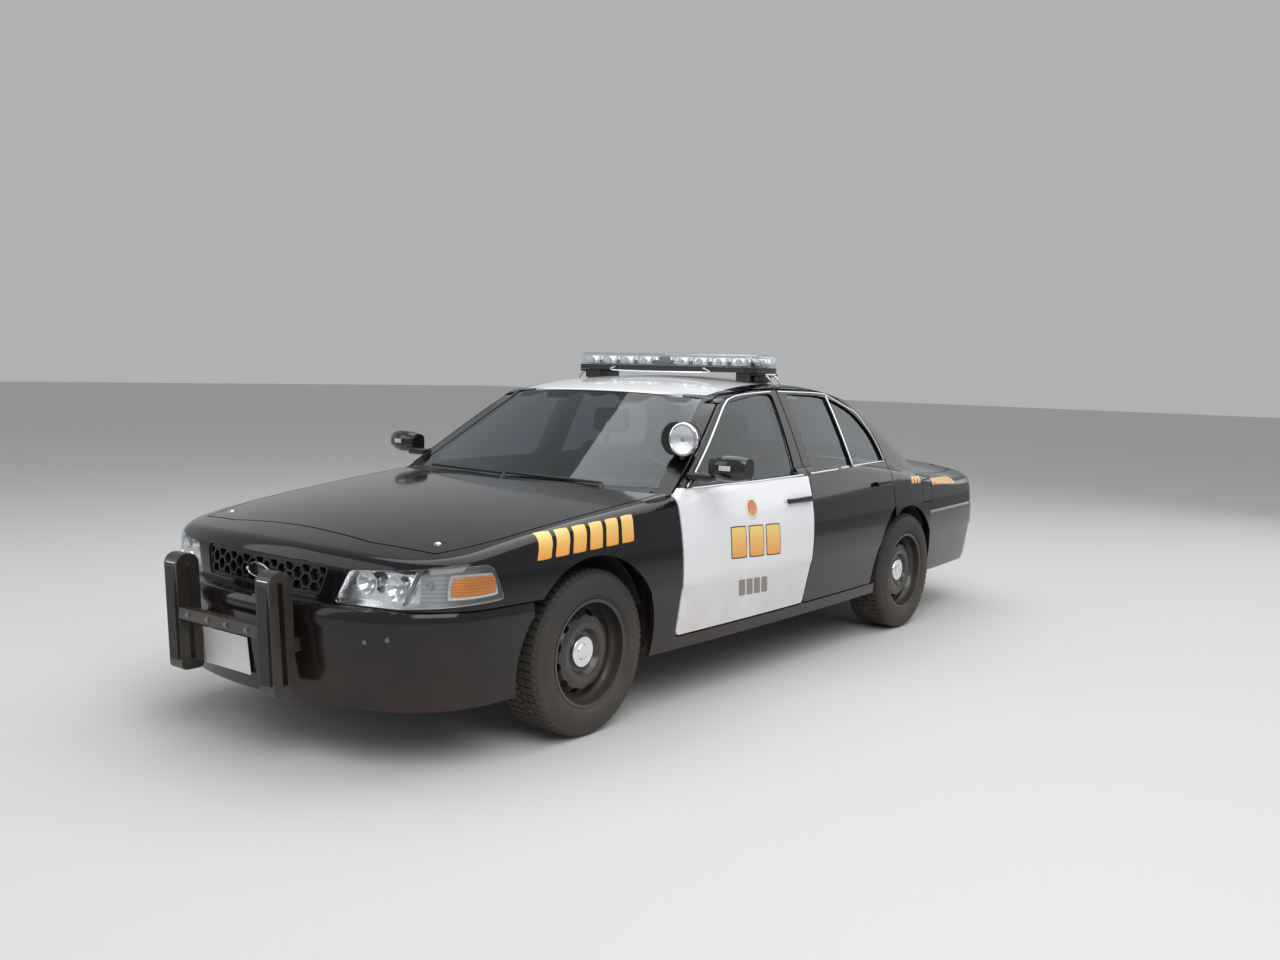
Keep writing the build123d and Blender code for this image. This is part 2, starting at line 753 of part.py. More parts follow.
def grille_outline(grow):
    (ty, tz), (by, bz) = GRILLE
    with BuildSketch() as sketch:
        with BuildLine():
            FilletPolyline((ty, tz), (by, bz), (-by, bz), (-ty, tz), radius=26, close=True)
        make_face()
        if grow:
            offset(amount=grow, kind=Kind.INTERSECTION)
    return sketch.sketch


def grille_prism(grow=0.0):
    with BuildPart() as prism:
        with BuildSketch(Plane.YZ.offset(2200)):
            add(grille_outline(grow))
        extrude(amount=500)
    return prism.part


def fender():
    skin = common(less(OUTER, UNDER_SKIN),
                  block(DOOR_FRONT_X + PANEL_GAP, FENDER_FRONT_X, 0, 1100, SILL_BOTTOM, 1100))
    nose_low = block(1800, 2700, 0, 1100, 0, FRONT_BUMPER_TOP + SEAM)
    return less(skin, HOOD_CUT, arch(FRONT_AXLE_X, FRONT_ARCH), nose_low, lamp_prism(SEAM))


def nose_panel():
    left = common(less(OUTER, UNDER_SKIN),
                  block(FENDER_FRONT_X + SEAM, 2700, 0, 1100, FRONT_BUMPER_TOP + SEAM, 1100))
    left = less(left, HOOD_CUT, lamp_prism(SEAM), grille_prism())
    left = common(left, block(2000, 2700, 0, 1100, 0, 1200))
    return joined(left, mirrored(left))


def headlamp():
    return less(common(less(OUTER, DEEP_BODY), lamp_prism()), grille_prism(20.0))


def bumper_profile(low, high, top_in):
    """Skin of a bumper cover: tucked lip, crease, rounded upper edge and a shelf."""
    with BuildSketch() as sketch:
        with BuildLine():
            Polyline((-120, low), (-52, low), (-38, 330), (-8, 532), (-1, CREASE_Z), (-3, high - 22),
                     (-12, high - 6), (-28, high), (-top_in, high), (-top_in, high - 14), (-44, high - 22),
                     (-34, CREASE_Z), (-62, 330), (-76, low + 20), (-120, low + 12), (-120, low))
        make_face()
    return sketch.sketch


def front_bumper():
    arcs = plan_arcs(FRONT_BUMPER_X, FRONT_BUMPER_RADIUS, FRONT_BUMPER_CORNER, True)
    band = end_band(bumper_profile(FRONT_BUMPER_LOW, FRONT_BUMPER_TOP, 150), arcs, FRONT_BUMPER_RADIUS,
                    FRONT_BUMPER_CORNER, True, 1900)
    left = less(band, arch(FRONT_AXLE_X, FRONT_ARCH))
    return joined(left, mirrored(left))


def rear_bumper():
    arcs = plan_arcs(REAR_BUMPER_X, REAR_BUMPER_RADIUS, REAR_BUMPER_CORNER, False)
    band = end_band(bumper_profile(REAR_BUMPER_LOW, REAR_BUMPER_TOP, 120), arcs, REAR_BUMPER_RADIUS,
                    REAR_BUMPER_CORNER, False, REAR_BUMPER_FRONT_X)
    left = less(band, arch(REAR_AXLE_X, REAR_ARCH))
    return joined(left, mirrored(left))


def trunk_lid():
    """Lid over the luggage space: deck, rounded rear edge and the face between the tail lamps."""
    zone = plan_zone(whole(DECK), -PANEL_GAP, DECK_FACE_Z + PANEL_GAP, 1200)
    inner = common(TOP_SKIN, zone, block(-2900, -1400, -800, 800, 600, 1200))
    outer = common(less(OUTER, UNDER_SKIN), zone, block(-2900, -1400, 0, 1100, 600, 1200))
    ring_side = body_ring(BAND)
    inner = less(inner, ring_side, mirrored(ring_side), block(-2900, TAIL_X + BAND, -800, 800, 600, 1200))
    return joined(inner, outer, mirrored(outer))


def tail_lamp():
    return common(less(OUTER, DEEP_BODY), tail_lamp_zone())


def fuel_door():
    prism = through(outline(FUEL_DOOR, -5.0), 800.0)
    return common(less(OUTER, body_half(8.0)), prism)


def rod(points, radius, bend=30.0):
    """Round bar along straight runs with rounded corners."""
    with BuildPart() as bar:
        with BuildLine() as path:
            if len(points) > 2:
                FilletPolyline(*points, radius=bend)
            else:
                Line(*points)
        with BuildSketch(Plane(origin=path.line @ 0, z_dir=path.line % 0)):
            Circle(radius)
        sweep()
    return bar.part


def softened(solid, radius):
    with BuildPart() as rounded:
        add(solid)
        fillet(rounded.edges(), radius=radius)
    return rounded.part


# Grille: a curved plate of hexagonal cells between the headlamps
GRILLE_CELL = 52.0
GRILLE_WALL = 9.0
GRILLE_DEPTH = 26.0


def grille():
    left = less(body_half(6.0), body_half(6.0 + GRILLE_DEPTH))
    plate = common(left, grille_prism(-SEAM / 2))
    with BuildPart() as cells:
        with BuildSketch(Plane.YZ.offset(2200)):
            with Locations((0, 695)):
                with HexLocations(GRILLE_CELL / 2, 17, 5):
                    RegularPolygon((GRILLE_CELL - GRILLE_WALL) / 2, 6, major_radius=False)
            add(grille_outline(-14.0), mode=Mode.INTERSECT)
        extrude(amount=500)
    plate = joined(plate, mirrored(plate))
    return less(plate, cells.part)


# Push bumper: two upright loops of square tube in front of the bumper, joined by a crossbar
PUSH_INNER = 255.0
PUSH_WIDTH = 85.0
PUSH_TUBE = 38.0
PUSH_LOW = 275.0
PUSH_HIGH = 740.0
PUSH_DEPTH = 98.0
PUSH_LEAN = 26.0
PUSH_CORNER = 44.0
CROSSBAR = 45.0
CROSSBAR_HIGH = 532.0
# Room of a bracket through the bumper: near and far distance from the middle, low and high edge
BRACKET = (270.0, 325.0, 420.0, 490.0)
BEAM_FRONT_X = 2450.0


def push_loop(depth, y0, y1):
    """Side view loop of the push bumper, set in from its outside by depth."""
    front, rear = PUSH_BUMPER_X - depth, PUSH_BUMPER_X - PUSH_DEPTH + depth
    low, high, corner = PUSH_LOW + depth, PUSH_HIGH - depth, max(PUSH_CORNER - depth, 8)
    return side_prism(((front - PUSH_LEAN, low, corner / 2), (front, high, corner), (rear, high, corner),
                       (rear - PUSH_LEAN, low, corner / 2)), y0, y1)


def push_bumper():
    loop = push_loop(0.0, PUSH_INNER, PUSH_INNER + PUSH_WIDTH)
    y0, y1, z0, z1 = BRACKET
    bracket = block(BEAM_FRONT_X + FIT, PUSH_BUMPER_X - PUSH_DEPTH, y0 + 8, y1 - 8, z0 + 8, z1 - 8)
    side = joined(less(loop, push_loop(PUSH_TUBE, 0, 1000)), bracket)
    bar_front = PUSH_BUMPER_X - 12
    crossbar = softened(block(bar_front - CROSSBAR, bar_front, -PUSH_INNER - 4, PUSH_INNER + 4,
                              CROSSBAR_HIGH - CROSSBAR, CROSSBAR_HIGH), 3)
    return joined(side, mirrored(side), crossbar)


def bumper_holes():
    y0, y1, z0, z1 = BRACKET
    hole = block(2400, 2700, y0, y1, z0, z1)
    return joined(hole, mirrored(hole))


# Floor, firewall, wheel housings, luggage floor and rear panel
FLOOR_LOW = 276.0
FLOOR_HIGH = 290.0
FIREWALL_X = 1080.0
FIREWALL_BACK_X = FIREWALL_X - 18.0
TRUNK_FLOOR = 420.0
HOUSING_WALL = 5.0


def floor_plate(x0, x1, low, high):
    """Plate between the sills, its sides curved with them."""
    middle = (x0 + x1) / 2
    near, centre, far = [(x, side_y(x) - DOOR_DEPTH - FIT) for x in (x0, middle, x1)]
    with BuildPart() as plate:
        with BuildSketch(Plane.XY.offset(low)):
            with BuildLine():
                ThreePointArc(near, centre, far)
                Line(far, (far[0], -far[1]))
                ThreePointArc((far[0], -far[1]), (middle, -centre[1]), (near[0], -near[1]))
                Line((near[0], -near[1]), near)
            make_face()
        extrude(amount=high - low)
    return plate.part


def wheel_housing(axle_x, radius, y_inner, y_outer, low):
    """Half-round shell over a left wheel, closed on its inner side."""
    shell = less(drum((axle_x, y_inner, TYRE_RADIUS), radius + HOUSING_WALL, y_outer - y_inner),
                 drum((axle_x, y_inner + HOUSING_WALL, TYRE_RADIUS), radius, 1000))
    return less(shell, block(axle_x - 600, axle_x + 600, 0, 1100, -200, low))


RISER_X = -996.0
HOUSING_INNER_Y = 586.0
KICK_Y = 812.0
TUNNEL_HALF = 140.0
TUNNEL_HIGH = 440.0


def tunnel_space():
    """Room inside the tunnel, open to below and at both ends."""
    return side_prism(((FIREWALL_X + 1, 150, 0), (FIREWALL_X + 1, TUNNEL_HIGH - 14, 0), (700, 406, 200),
                       (RISER_X - 15, 386, 0), (RISER_X - 15, 150, 0)), 14 - TUNNEL_HALF, TUNNEL_HALF - 14)


def floor_pan():
    """Cabin floor with its tunnel."""
    rear_x = RISER_X + FIT
    tunnel = side_prism(((FIREWALL_X, FLOOR_LOW, 0), (FIREWALL_X, TUNNEL_HIGH, 0), (700, 420, 200),
                         (rear_x, 400, 0), (rear_x, FLOOR_LOW, 0)), -TUNNEL_HALF, TUNNEL_HALF)
    return less(joined(floor_plate(rear_x, FIREWALL_X, FLOOR_LOW, FLOOR_HIGH), tunnel), tunnel_space())


def firewall():
    """Upright panel between the engine and the cabin, with a kick panel at each end."""
    low, high = FLOOR_HIGH + FIT, 915 - FIT
    plate = block(FIREWALL_BACK_X, FIREWALL_X, -KICK_Y, KICK_Y, low, high)
    kick = block(975, FIREWALL_X, KICK_Y, KICK_Y + 17, low, high)
    notch = block(FIREWALL_BACK_X - 1, FIREWALL_X + 1, -TUNNEL_HALF - FIT, TUNNEL_HALF + FIT, 0,
                  TUNNEL_HIGH + FIT)
    return less(joined(plate, kick, mirrored(kick)), notch)


def luggage_floor():
    """Riser behind the rear seat's foot, floor of the luggage space and its rear panel."""
    half = HOUSING_INNER_Y - FIT
    riser = block(RISER_X - 14, RISER_X, -half, half, FLOOR_LOW, TRUNK_FLOOR)
    luggage = block(-2640, RISER_X - 14, -half, half, TRUNK_FLOOR - 14, TRUNK_FLOOR)
    wings = block(-2450, -1790, -830, 830, TRUNK_FLOOR - 14, TRUNK_FLOOR)
    rear_panel = block(-2640, -2626, -560, 560, TRUNK_FLOOR, 670)
    return less(joined(riser, luggage, wings, rear_panel), tunnel_space())


def rear_housing():
    shell = wheel_housing(REAR_AXLE_X, REAR_ARCH + 9, HOUSING_INNER_Y, 905, 300)
    shell = less(shell, block(SILL_REAR_X - FIT, -800, 826, 1100, 0, 1200))
    shell = less(shell, drum((REAR_AXLE_X, 500, TYRE_RADIUS), 60, 200))
    return less(shell, block(-1800, -1690, 820, 1100, 0, 700))


def front_housing():
    shell = wheel_housing(FRONT_AXLE_X, FRONT_ARCH + 12, 440, 855, 480)
    return joined(shell, block(FIREWALL_X + FIT, FRONT_AXLE_X - FRONT_ARCH, 440, 446, 480, 720))


def chassis_frame():
    """Front rails, bumper beams, engine cradle and the rear rails."""
    rail = block(FIREWALL_X + FIT, BEAM_FRONT_X - 40, 370, 430, 400, 480)
    beam = block(BEAM_FRONT_X - 40, BEAM_FRONT_X, -520, 520, 400, 500)
    cradle_side = block(1180, 1900, 330, 400, 190, 250)
    cradle_post = block(1200, 1270, 370, 400, 250, 400)
    cradle_post_front = block(1820, 1890, 370, 400, 250, 400)
    left = joined(rail, cradle_side, cradle_post, cradle_post_front)
    cross = joined(block(1180, 1260, -330, 330, 190, 250), block(1820, 1900, -330, 330, 190, 250))
    return joined(left, mirrored(left), beam, cross)


def radiator():
    core = block(2250, 2290, -370 + FIT, 370 - FIT, 330, 700)
    return joined(core, block(2290, 2310, -360, 360, 380, 420))


def engine():
    low = block(1270, 1800, -290, 290, 260, 560)
    high = side_prism(((1300, 560, 0), (1300, 800, 40), (1760, 780, 40), (1780, 560, 0)), -250, 250)
    return joined(low, high)


KINGPIN_Y = 740.0
HUB_FACE = 39.0


def knuckle():
    """Left steering knuckle: hub, tall arm over the tyre and the two ball joints."""
    x, z = FRONT_AXLE_X, TYRE_RADIUS
    hub = drum((x, 752, z), 60, FRONT_TRACK / 2 + HUB_FACE - FIT - 752)
    upright = block(x - 45, x + 45, 700, 762, z - 130, z + 130)
    foot = block(x - 45, x + 45, 655, 701, z + 60, z + 120)
    tall = block(x - 28, x + 28, 655, 681, z + 60, z + 376)
    head = block(x - 28, x + 28, 655, 768, z + 356, z + 376)
    arm = block(x - 130, x - 44, 700, 724, z - 60, z - 36)
    return joined(hub, upright, foot, tall, head, arm)


def front_suspension():
    """Lower and upper arms, coil-over dampers and half shafts of the front axle."""
    x, z = FRONT_AXLE_X, TYRE_RADIUS
    lower = plan_prism(((x - 36, 770, 30), (x + 36, 770, 30), (x + 90, 400.3, 10), (x - 150, 400.3, 10)),
                       186, 208)
    ball = drum((x, KINGPIN_Y, 208), 20, z - 130 - 208 - FIT, (0, 0, 1))
    upper = plan_prism(((x - 30, 766, 26), (x + 30, 766, 26), (x + 80, 445.3 + HOUSING_WALL, 8),
                        (x - 80, 445.3 + HOUSING_WALL, 8)), z + 383, z + 397)
    pin = drum((x, KINGPIN_Y, z + 376 + FIT), 16, 8, (0, 0, 1))
    damper = joined(drum((x, 480, 208), 14, z + 177, (0, 0, 1)), drum((x, 480, 400), 32, 260, (0, 0, 1)))
    shaft = joined(drum((x, 290.3, z), 14, 300), drum((x, 560, z), 38, 72))
    return joined(lower, ball, upper, pin, less(damper, block(x - 50, x + 50, 400, 446, 0, 900)), shaft)


def rear_suspension():
    """Rear cradle, arms, dampers, final drive, half shafts and hubs."""
    x, z = REAR_AXLE_X, TYRE_RADIUS
    hub = drum((x, 780, z), 60, REAR_TRACK / 2 + HUB_FACE - FIT - 780)
    upright = block(x - 45, x + 45, 728, 790, z - 130, z + 130)
    lower = plan_prism(((x - 50, 780, 30), (x + 50, 780, 30), (x + 120, 380, 10), (x - 120, 380, 10)),
                       z - 152, z - 130)
    shaft = drum((x, 140, z), 16, 600)
    damper = joined(drum((x, 660, z - 131), 14, 500, (0, 0, 1)), drum((x, 660, z + 60), 30, 240, (0, 0, 1)))
    rail = block(x - 160, x + 160, 380, 440, z - 152, z - 92)
    posts = [block(place - 20, place + 20, 385, 435, z - 93, TRUNK_FLOOR - 14 - FIT)
             for place in (x - 140, x + 140)]
    left = joined(hub, upright, lower, shaft, damper, rail, *posts)
    final_drive = softened(block(x - 110, x + 110, -150, 150, z - 90, z + 50), 18)
    cross = [block(place - 25, place + 25, -390, 390, z - 152, z - 92) for place in (x - 135, x + 135)]
    middle = block(x - 120, x + 120, -60, 60, z - 120, z - 60)
    return joined(left, mirrored(left), final_drive, middle, *cross)


# Half sections of the rim and the disc: radius, distance outward from the wheel's middle
RIM_PROFILE = (
    (RIM_RADIUS, 107), (RIM_RADIUS, 100), (217, 97), (215, 62), (200, 42), (200, -22), (213, -62),
    (217, -97), (RIM_RADIUS, -100), (RIM_RADIUS, -107), (212, -104), (207, -66), (194, -26), (194, 40),
    (208, 66), (211, 104),
)
DISC_PROFILE = (
    (196, 12), (196, 30), (178, 36), (152, 66), (122, 74), (98, 70), (82, 48), (60, 46), (35, 46), (35, 39),
    (84, 39), (103, 62), (122, 66), (147, 59), (172, 28), (188, 12),
)
HUB_BOLTS = 5
BOLT_CIRCLE = 114.3
BOLT_HOLE_RADIUS = 7.5
WHEEL_HOLES = 12


def wheel_plane(axle_x, y):
    """Plane through a left wheel's middle: first axis forward, second axis outward."""
    return Plane(origin=(axle_x, y, TYRE_RADIUS), x_dir=(1, 0, 0), z_dir=(0, 0, 1))


def wheel(axle_x, y):
    axis = Axis((axle_x, y, TYRE_RADIUS), (0, 1, 0))
    with BuildPart() as rim:
        for profile in (RIM_PROFILE, DISC_PROFILE):
            with BuildSketch(wheel_plane(axle_x, y)):
                Polygon(*profile, align=None)
            revolve(axis=axis)
        with BuildSketch(Plane(origin=(axle_x, y, TYRE_RADIUS), x_dir=(1, 0, 0), z_dir=(0, 1, 0))):
            with PolarLocations(160, WHEEL_HOLES, start_angle=180 / WHEEL_HOLES):
                SlotOverall(40, 24, rotation=90)
            with PolarLocations(BOLT_CIRCLE / 2, HUB_BOLTS, start_angle=90):
                Circle(BOLT_HOLE_RADIUS)
        extrude(amount=120, mode=Mode.SUBTRACT)
    return rim.part


def tyre(axle_x, y):
    axis = Axis((axle_x, y, TYRE_RADIUS), (0, 1, 0))
    r = TYRE_RADIUS
    bead = RIM_RADIUS + 1
    with BuildPart() as rubber:
        with BuildSketch(wheel_plane(axle_x, y)):
            with BuildLine():
                for side in (1, -1):
                    Polyline((216.4, 80 * side), (217.4, 96 * side), (bead, 96.3 * side))
                    ThreePointArc((bead, 96.3 * side), (282, TYRE_WIDTH / 2 * side), (r - 15, 103 * side))
                    ThreePointArc((r - 15, 103 * side), (r - 5, 92 * side), (r - 1.5, 76 * side))
                    Line((216.4, 80 * side), (228, 84 * side))
                    ThreePointArc((228, 84 * side), (280, 106 * side), (r - 24, 92 * side))
                    Line((r - 24, 92 * side), (r - 14, 68 * side))
                ThreePointArc((r - 1.5, 76), (r, 0), (r - 1.5, -76))
                ThreePointArc((r - 14, 68), (r - 12, 0), (r - 14, -68))
            make_face()
        revolve(axis=axis)
    return rubber.part


def exhaust():
    """Twin pipes from the tunnel to two silencers with straight tail pipes."""
    left = rod(((1150, 60, 236), (-900, 60, 236), (-1060, 250, 240), (-1170, 250, 292), (-1560, 250, 292),
                (-1800, 480, 280), (-1900, 480, 280)), 26, 50)
    silencer = softened(block(-2400, -1880, 380, 600, 210, 380), 40)
    tail = less(drum((-2390, 560, 252), 32, 400, (-1, 0, 0)), drum((-2500, 560, 252), 28, 400, (-1, 0, 0)))
    side = joined(left, silencer, tail)
    return joined(side, mirrored(side))


def fuel_tank():
    return softened(block(-990, -590, -620, -290, 196, FLOOR_LOW - FIT), 20)


DASH = (
    (FIREWALL_BACK_X - FIT, 640, 20), (FIREWALL_BACK_X - FIT, 888, 30), (940, 908, 60), (760, 958, 60),
    (640, 930, 40), (622, 850, 40), (690, 700, 60), (760, 620, 40),
)
STEERING_CENTRE = (440.0, 370.0, 900.0)
STEERING_TILT = 24.0
STEERING_RADIUS = 188.0


def dashboard():
    """Instrument panel, centre console and steering column."""
    panel = side_prism(DASH, -795, 795)
    hood_over = side_prism(((800, 950, 20), (660, 985, 20), (610, 930, 10), (640, 900, 10), (800, 900, 10)),
                           250, 490)
    console = side_prism(((800, 443, 0), (800, 720, 60), (640, 640, 60), (400, 560, 60), (-150, 560, 40),
                          (-150, 425, 0)), -110, 110)
    console = less(console, side_prism(((900, 300, 0), (900, 432.3, 0), (700, 420.3, 200), (-1060, 400.3, 0),
                                        (-1060, 300, 0)), -200, 200))
    x, y, z = STEERING_CENTRE
    direction = (cos(radians(STEERING_TILT)), 0, -sin(radians(STEERING_TILT)))
    start = (x + 24.3 * direction[0], y, z + 24.3 * direction[2])
    column = drum(start, 38, 260, direction)
    return joined(panel, hood_over, console, column)


def steering_wheel():
    tilt = radians(STEERING_TILT)
    axis_dir = (cos(tilt), 0, -sin(tilt))
    plane = Plane(origin=STEERING_CENTRE, x_dir=(0, 1, 0), z_dir=axis_dir)
    with BuildPart() as ring_part:
        with BuildSketch(Plane(origin=STEERING_CENTRE, x_dir=(0, 1, 0), z_dir=(sin(tilt), 0, cos(tilt)))):
            with Locations((STEERING_RADIUS, 0)):
                Circle(15)
        revolve(axis=Axis(STEERING_CENTRE, axis_dir))
        with BuildSketch(plane.offset(-20)):
            Circle(58)
        extrude(amount=44)
        for turn in (0, 90, 180):
            with BuildSketch(plane.rotated((0, 0, turn)).offset(-8)):
                with Locations((STEERING_RADIUS / 2, 0)):
                    Rectangle(STEERING_RADIUS, 34)
            extrude(amount=14)
    return ring_part.part


SEAT_Y = 402.0
SEAT_BACK = (
    (60, 470, 60), (0, 600, 80), (-120, 1080, 50), (-230, 1100, 50), (-190, 700, 200), (-100, 470, 60),
)
SEAT_CUSHION = ((540, 400, 30), (550, 560, 60), (300, 560, 200), (-20, 520, 40), (-20, 400, 30))


def seat(y):
    """One front seat: cushion, back and head restraint."""
    cushion = softened(side_prism(SEAT_CUSHION, y - 250, y + 250), 22)
    back = softened(side_prism(SEAT_BACK, y - 245, y + 245), 22)
    head = softened(side_prism(((-180, 1130, 30), (-130, 1150, 30), (-150, 1290, 40), (-235, 1290, 40),
                                (-240, 1150, 30)), y - 130, y + 130), 18)
    posts = [rod(((-180, place, 1060), (-185, place, 1180)), 7) for place in (y - 60, y + 60)]
    rails = [block(60, 500, place - 20, place + 20, FLOOR_HIGH + FIT, 410) for place in (y - 190, y + 190)]
    return joined(cushion, back, head, *posts, *rails)


def rear_seat():
    cushion = side_prism(((-560, TRUNK_FLOOR + FIT, 40), (-550, 560, 70), (-900, 545, 200),
                          (RISER_X + FIT, 540, 0), (RISER_X + FIT, TRUNK_FLOOR + FIT, 0)), -580, 580)
    back = side_prism(((-900, 480, 40), (-1010, 960, 60), (-1120, 965, 30), (-1080, 480, 0)), -580, 580)
    return joined(softened(cushion, 20), back)


LIGHTBAR_LOW = 1503.0


def lightbar():
    """Roof light bar: clear body with rounded ends on a black base and two feet."""
    base = plan_prism(((-96, -605, 60), (-96, 605, 60), (-384, 605, 60), (-384, -605, 60)),
                      LIGHTBAR_LOW, 1530)
    with BuildPart() as dome:
        add(plan_prism(((-90, -612, 90), (-90, 612, 90), (-390, 612, 90), (-390, -612, 90)), 1530, 1600))
        fillet(dome.edges().group_by(Axis.Z)[-1], radius=24)
    foot = less(block(-330, -150, 470, 560, 1430, LIGHTBAR_LOW + 1), cabin(-FIT))
    return joined(base, dome.part, foot, mirrored(foot))


SPOT_CENTRE = (706.0, 768.0, 1194.0)
SPOT_RADIUS = 78.0


def spotlight():
    x, y, z = SPOT_CENTRE
    profile = ((0, 0), (34, 0), (60, 22), (SPOT_RADIUS - 2, 62), (SPOT_RADIUS, 70), (SPOT_RADIUS, 106),
               (SPOT_RADIUS - 8, 112), (0, 112))
    with BuildPart() as can:
        with BuildSketch(Plane(origin=(x, y, z), x_dir=(0, 0, 1), z_dir=(0, 1, 0))):
            Polygon(*profile, align=None)
        revolve(axis=Axis((x, y, z), (1, 0, 0)))
    stem = less(rod(((x + 50, y, z - 40), (x + 50, y + 14, z - 140)), 12), cabin(-FIT))
    return joined(can.part, stem)


MIRROR_CENTRE = (795.0, 1068.0, 1078.0)


def mirror_housing():
    """Left mirror: rounded housing on an arm from the corner of the front window."""
    x, y, z = MIRROR_CENTRE
    with BuildPart() as housing:
        with BuildSketch(Plane.XZ.offset(-(y - 92))):
            with Locations((x, z)):
                RectangleRounded(84, 84, 30)
        with BuildSketch(Plane.XZ.offset(-y)):
            with Locations((x + 4, z)):
                RectangleRounded(112, 118, 44)
        with BuildSketch(Plane.XZ.offset(-(y + 94))):
            with Locations((x - 6, z + 2)):
                RectangleRounded(74, 92, 34)
        loft()
    arm = block(790, 848, 860, y - 70, 1012, 1050)
    return joined(housing.part, less(softened(arm, 10), cabin(-FIT)))


def wipers():
    """Wiper arms with their blades along the foot of the windshield."""
    left = rod(((1092, 560, 960), (1048, 540, 986), (1092, -40, 997)), 7, 12)
    right = rod(((1158, 0, 962), (1108, -20, 994), (1034, -600, 992)), 7, 12)
    return less(joined(left, right), under_top(COWL_DROP - FIT))


save(front_door, "front_door_left")
save(rear_door, "rear_door_left")
save(mirrored(front_door), "front_door_right")
save(mirrored(rear_door), "rear_door_right")
save(front_pane, "front_glass_left")
save(rear_pane, "rear_glass_left")
save(mirrored(front_pane), "front_glass_right")
save(mirrored(rear_pane), "rear_glass_right")
save(windshield, "windshield")
save(rear_window, "rear_window")
save(roof_panel, "roof_panel")
left_side = body_side()
save(left_side, "body_side_left")
save(mirrored(left_side), "body_side_right")
save(cowl_panel(), "cowl_panel")
save(deck_panel(), "rear_deck_panel")
save(floor_pan(), "floor_pan")
save(firewall(), "firewall")
save(luggage_floor(), "luggage_floor")
save(both(front_housing()), "front_wheel_housings")
save(both(rear_housing()), "rear_wheel_housings")
save(hood(), "hood")
save(trunk_lid(), "trunk_lid")
save(fuel_door(), "fuel_door")
save(both(fender()), "fenders")
save(nose_panel(), "nose_panel")
save(grille(), "grille")
save(both(headlamp()), "headlamps")
save(both(tail_lamp()), "tail_lamps")
save(less(front_bumper(), bumper_holes()), "front_bumper")
save(rear_bumper(), "rear_bumper")
save(push_bumper(), "push_bumper")
save(chassis_frame(), "chassis_frame")
save(radiator(), "radiator")
save(engine(), "engine")
save(rear_suspension(), "rear_suspension")
save(both(front_suspension()), "front_suspension")
save(exhaust(), "exhaust")
save(fuel_tank(), "fuel_tank")
save(dashboard(), "dashboard")
save(steering_wheel(), "steering_wheel")
save(seat(SEAT_Y), "front_seat_left")
save(seat(-SEAT_Y), "front_seat_right")
save(rear_seat(), "rear_seat")
save(lightbar(), "lightbar")
save(spotlight(), "spotlight")
save(mirror_housing(), "mirror_left")
save(mirrored(mirror_housing()), "mirror_right")
save(wipers(), "wipers")
save(knuckle(), "front_knuckle_left")
save(mirrored(knuckle()), "front_knuckle_right")
front_wheel = wheel(FRONT_AXLE_X, FRONT_TRACK / 2)
front_tyre = tyre(FRONT_AXLE_X, FRONT_TRACK / 2)
rear_wheel = wheel(REAR_AXLE_X, REAR_TRACK / 2)
rear_tyre = tyre(REAR_AXLE_X, REAR_TRACK / 2)
for place, one_wheel, one_tyre in (("front", front_wheel, front_tyre), ("rear", rear_wheel, rear_tyre)):
    save(one_wheel, place + "_wheel_left")
    save(one_tyre, place + "_tyre_left")
    save(mirrored(one_wheel), place + "_wheel_right")
    save(mirrored(one_tyre), place + "_tyre_right")
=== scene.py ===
# Police patrol car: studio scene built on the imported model.
import json
from math import cos, pi, radians, sin, sqrt

import bmesh
import bpy
from mathutils import Matrix, Vector
from mathutils.bvhtree import BVHTree

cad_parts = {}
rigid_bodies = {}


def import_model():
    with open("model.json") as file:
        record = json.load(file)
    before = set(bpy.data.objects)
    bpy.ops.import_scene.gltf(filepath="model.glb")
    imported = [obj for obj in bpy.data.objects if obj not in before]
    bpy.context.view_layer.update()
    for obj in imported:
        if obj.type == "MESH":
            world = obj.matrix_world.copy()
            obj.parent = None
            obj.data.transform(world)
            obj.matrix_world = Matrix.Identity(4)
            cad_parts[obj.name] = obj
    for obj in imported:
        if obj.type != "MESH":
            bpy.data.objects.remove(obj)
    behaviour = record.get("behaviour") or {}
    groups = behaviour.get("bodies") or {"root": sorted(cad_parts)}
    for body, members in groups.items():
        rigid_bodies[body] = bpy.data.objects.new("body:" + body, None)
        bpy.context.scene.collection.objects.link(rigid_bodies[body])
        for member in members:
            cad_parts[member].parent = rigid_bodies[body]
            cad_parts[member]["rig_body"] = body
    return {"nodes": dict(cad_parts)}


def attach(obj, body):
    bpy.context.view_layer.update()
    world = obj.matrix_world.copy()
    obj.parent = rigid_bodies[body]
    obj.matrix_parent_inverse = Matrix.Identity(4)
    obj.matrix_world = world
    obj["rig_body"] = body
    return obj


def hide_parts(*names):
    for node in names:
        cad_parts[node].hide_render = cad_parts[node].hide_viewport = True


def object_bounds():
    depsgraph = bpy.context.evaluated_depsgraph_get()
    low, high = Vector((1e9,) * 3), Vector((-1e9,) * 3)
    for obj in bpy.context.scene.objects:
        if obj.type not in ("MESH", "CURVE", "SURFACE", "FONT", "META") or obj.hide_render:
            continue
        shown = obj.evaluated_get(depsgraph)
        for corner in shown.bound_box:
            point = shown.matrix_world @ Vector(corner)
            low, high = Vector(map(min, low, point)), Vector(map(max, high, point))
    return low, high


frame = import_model()
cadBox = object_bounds()
nodes = frame["nodes"]
scene = bpy.context.scene
print("frame loaded:", len(nodes), "nodes")


# camera, at the photograph's place
cameraSettings = {
    "place": (5.2913, 3.9369, 1.5042), "yaw": -2.4919, "pitch": -0.0925, "roll": 0.0271,
    "focalPixels": 1187.7, "imageWidth": 1280, "sensor": 36.0,
}


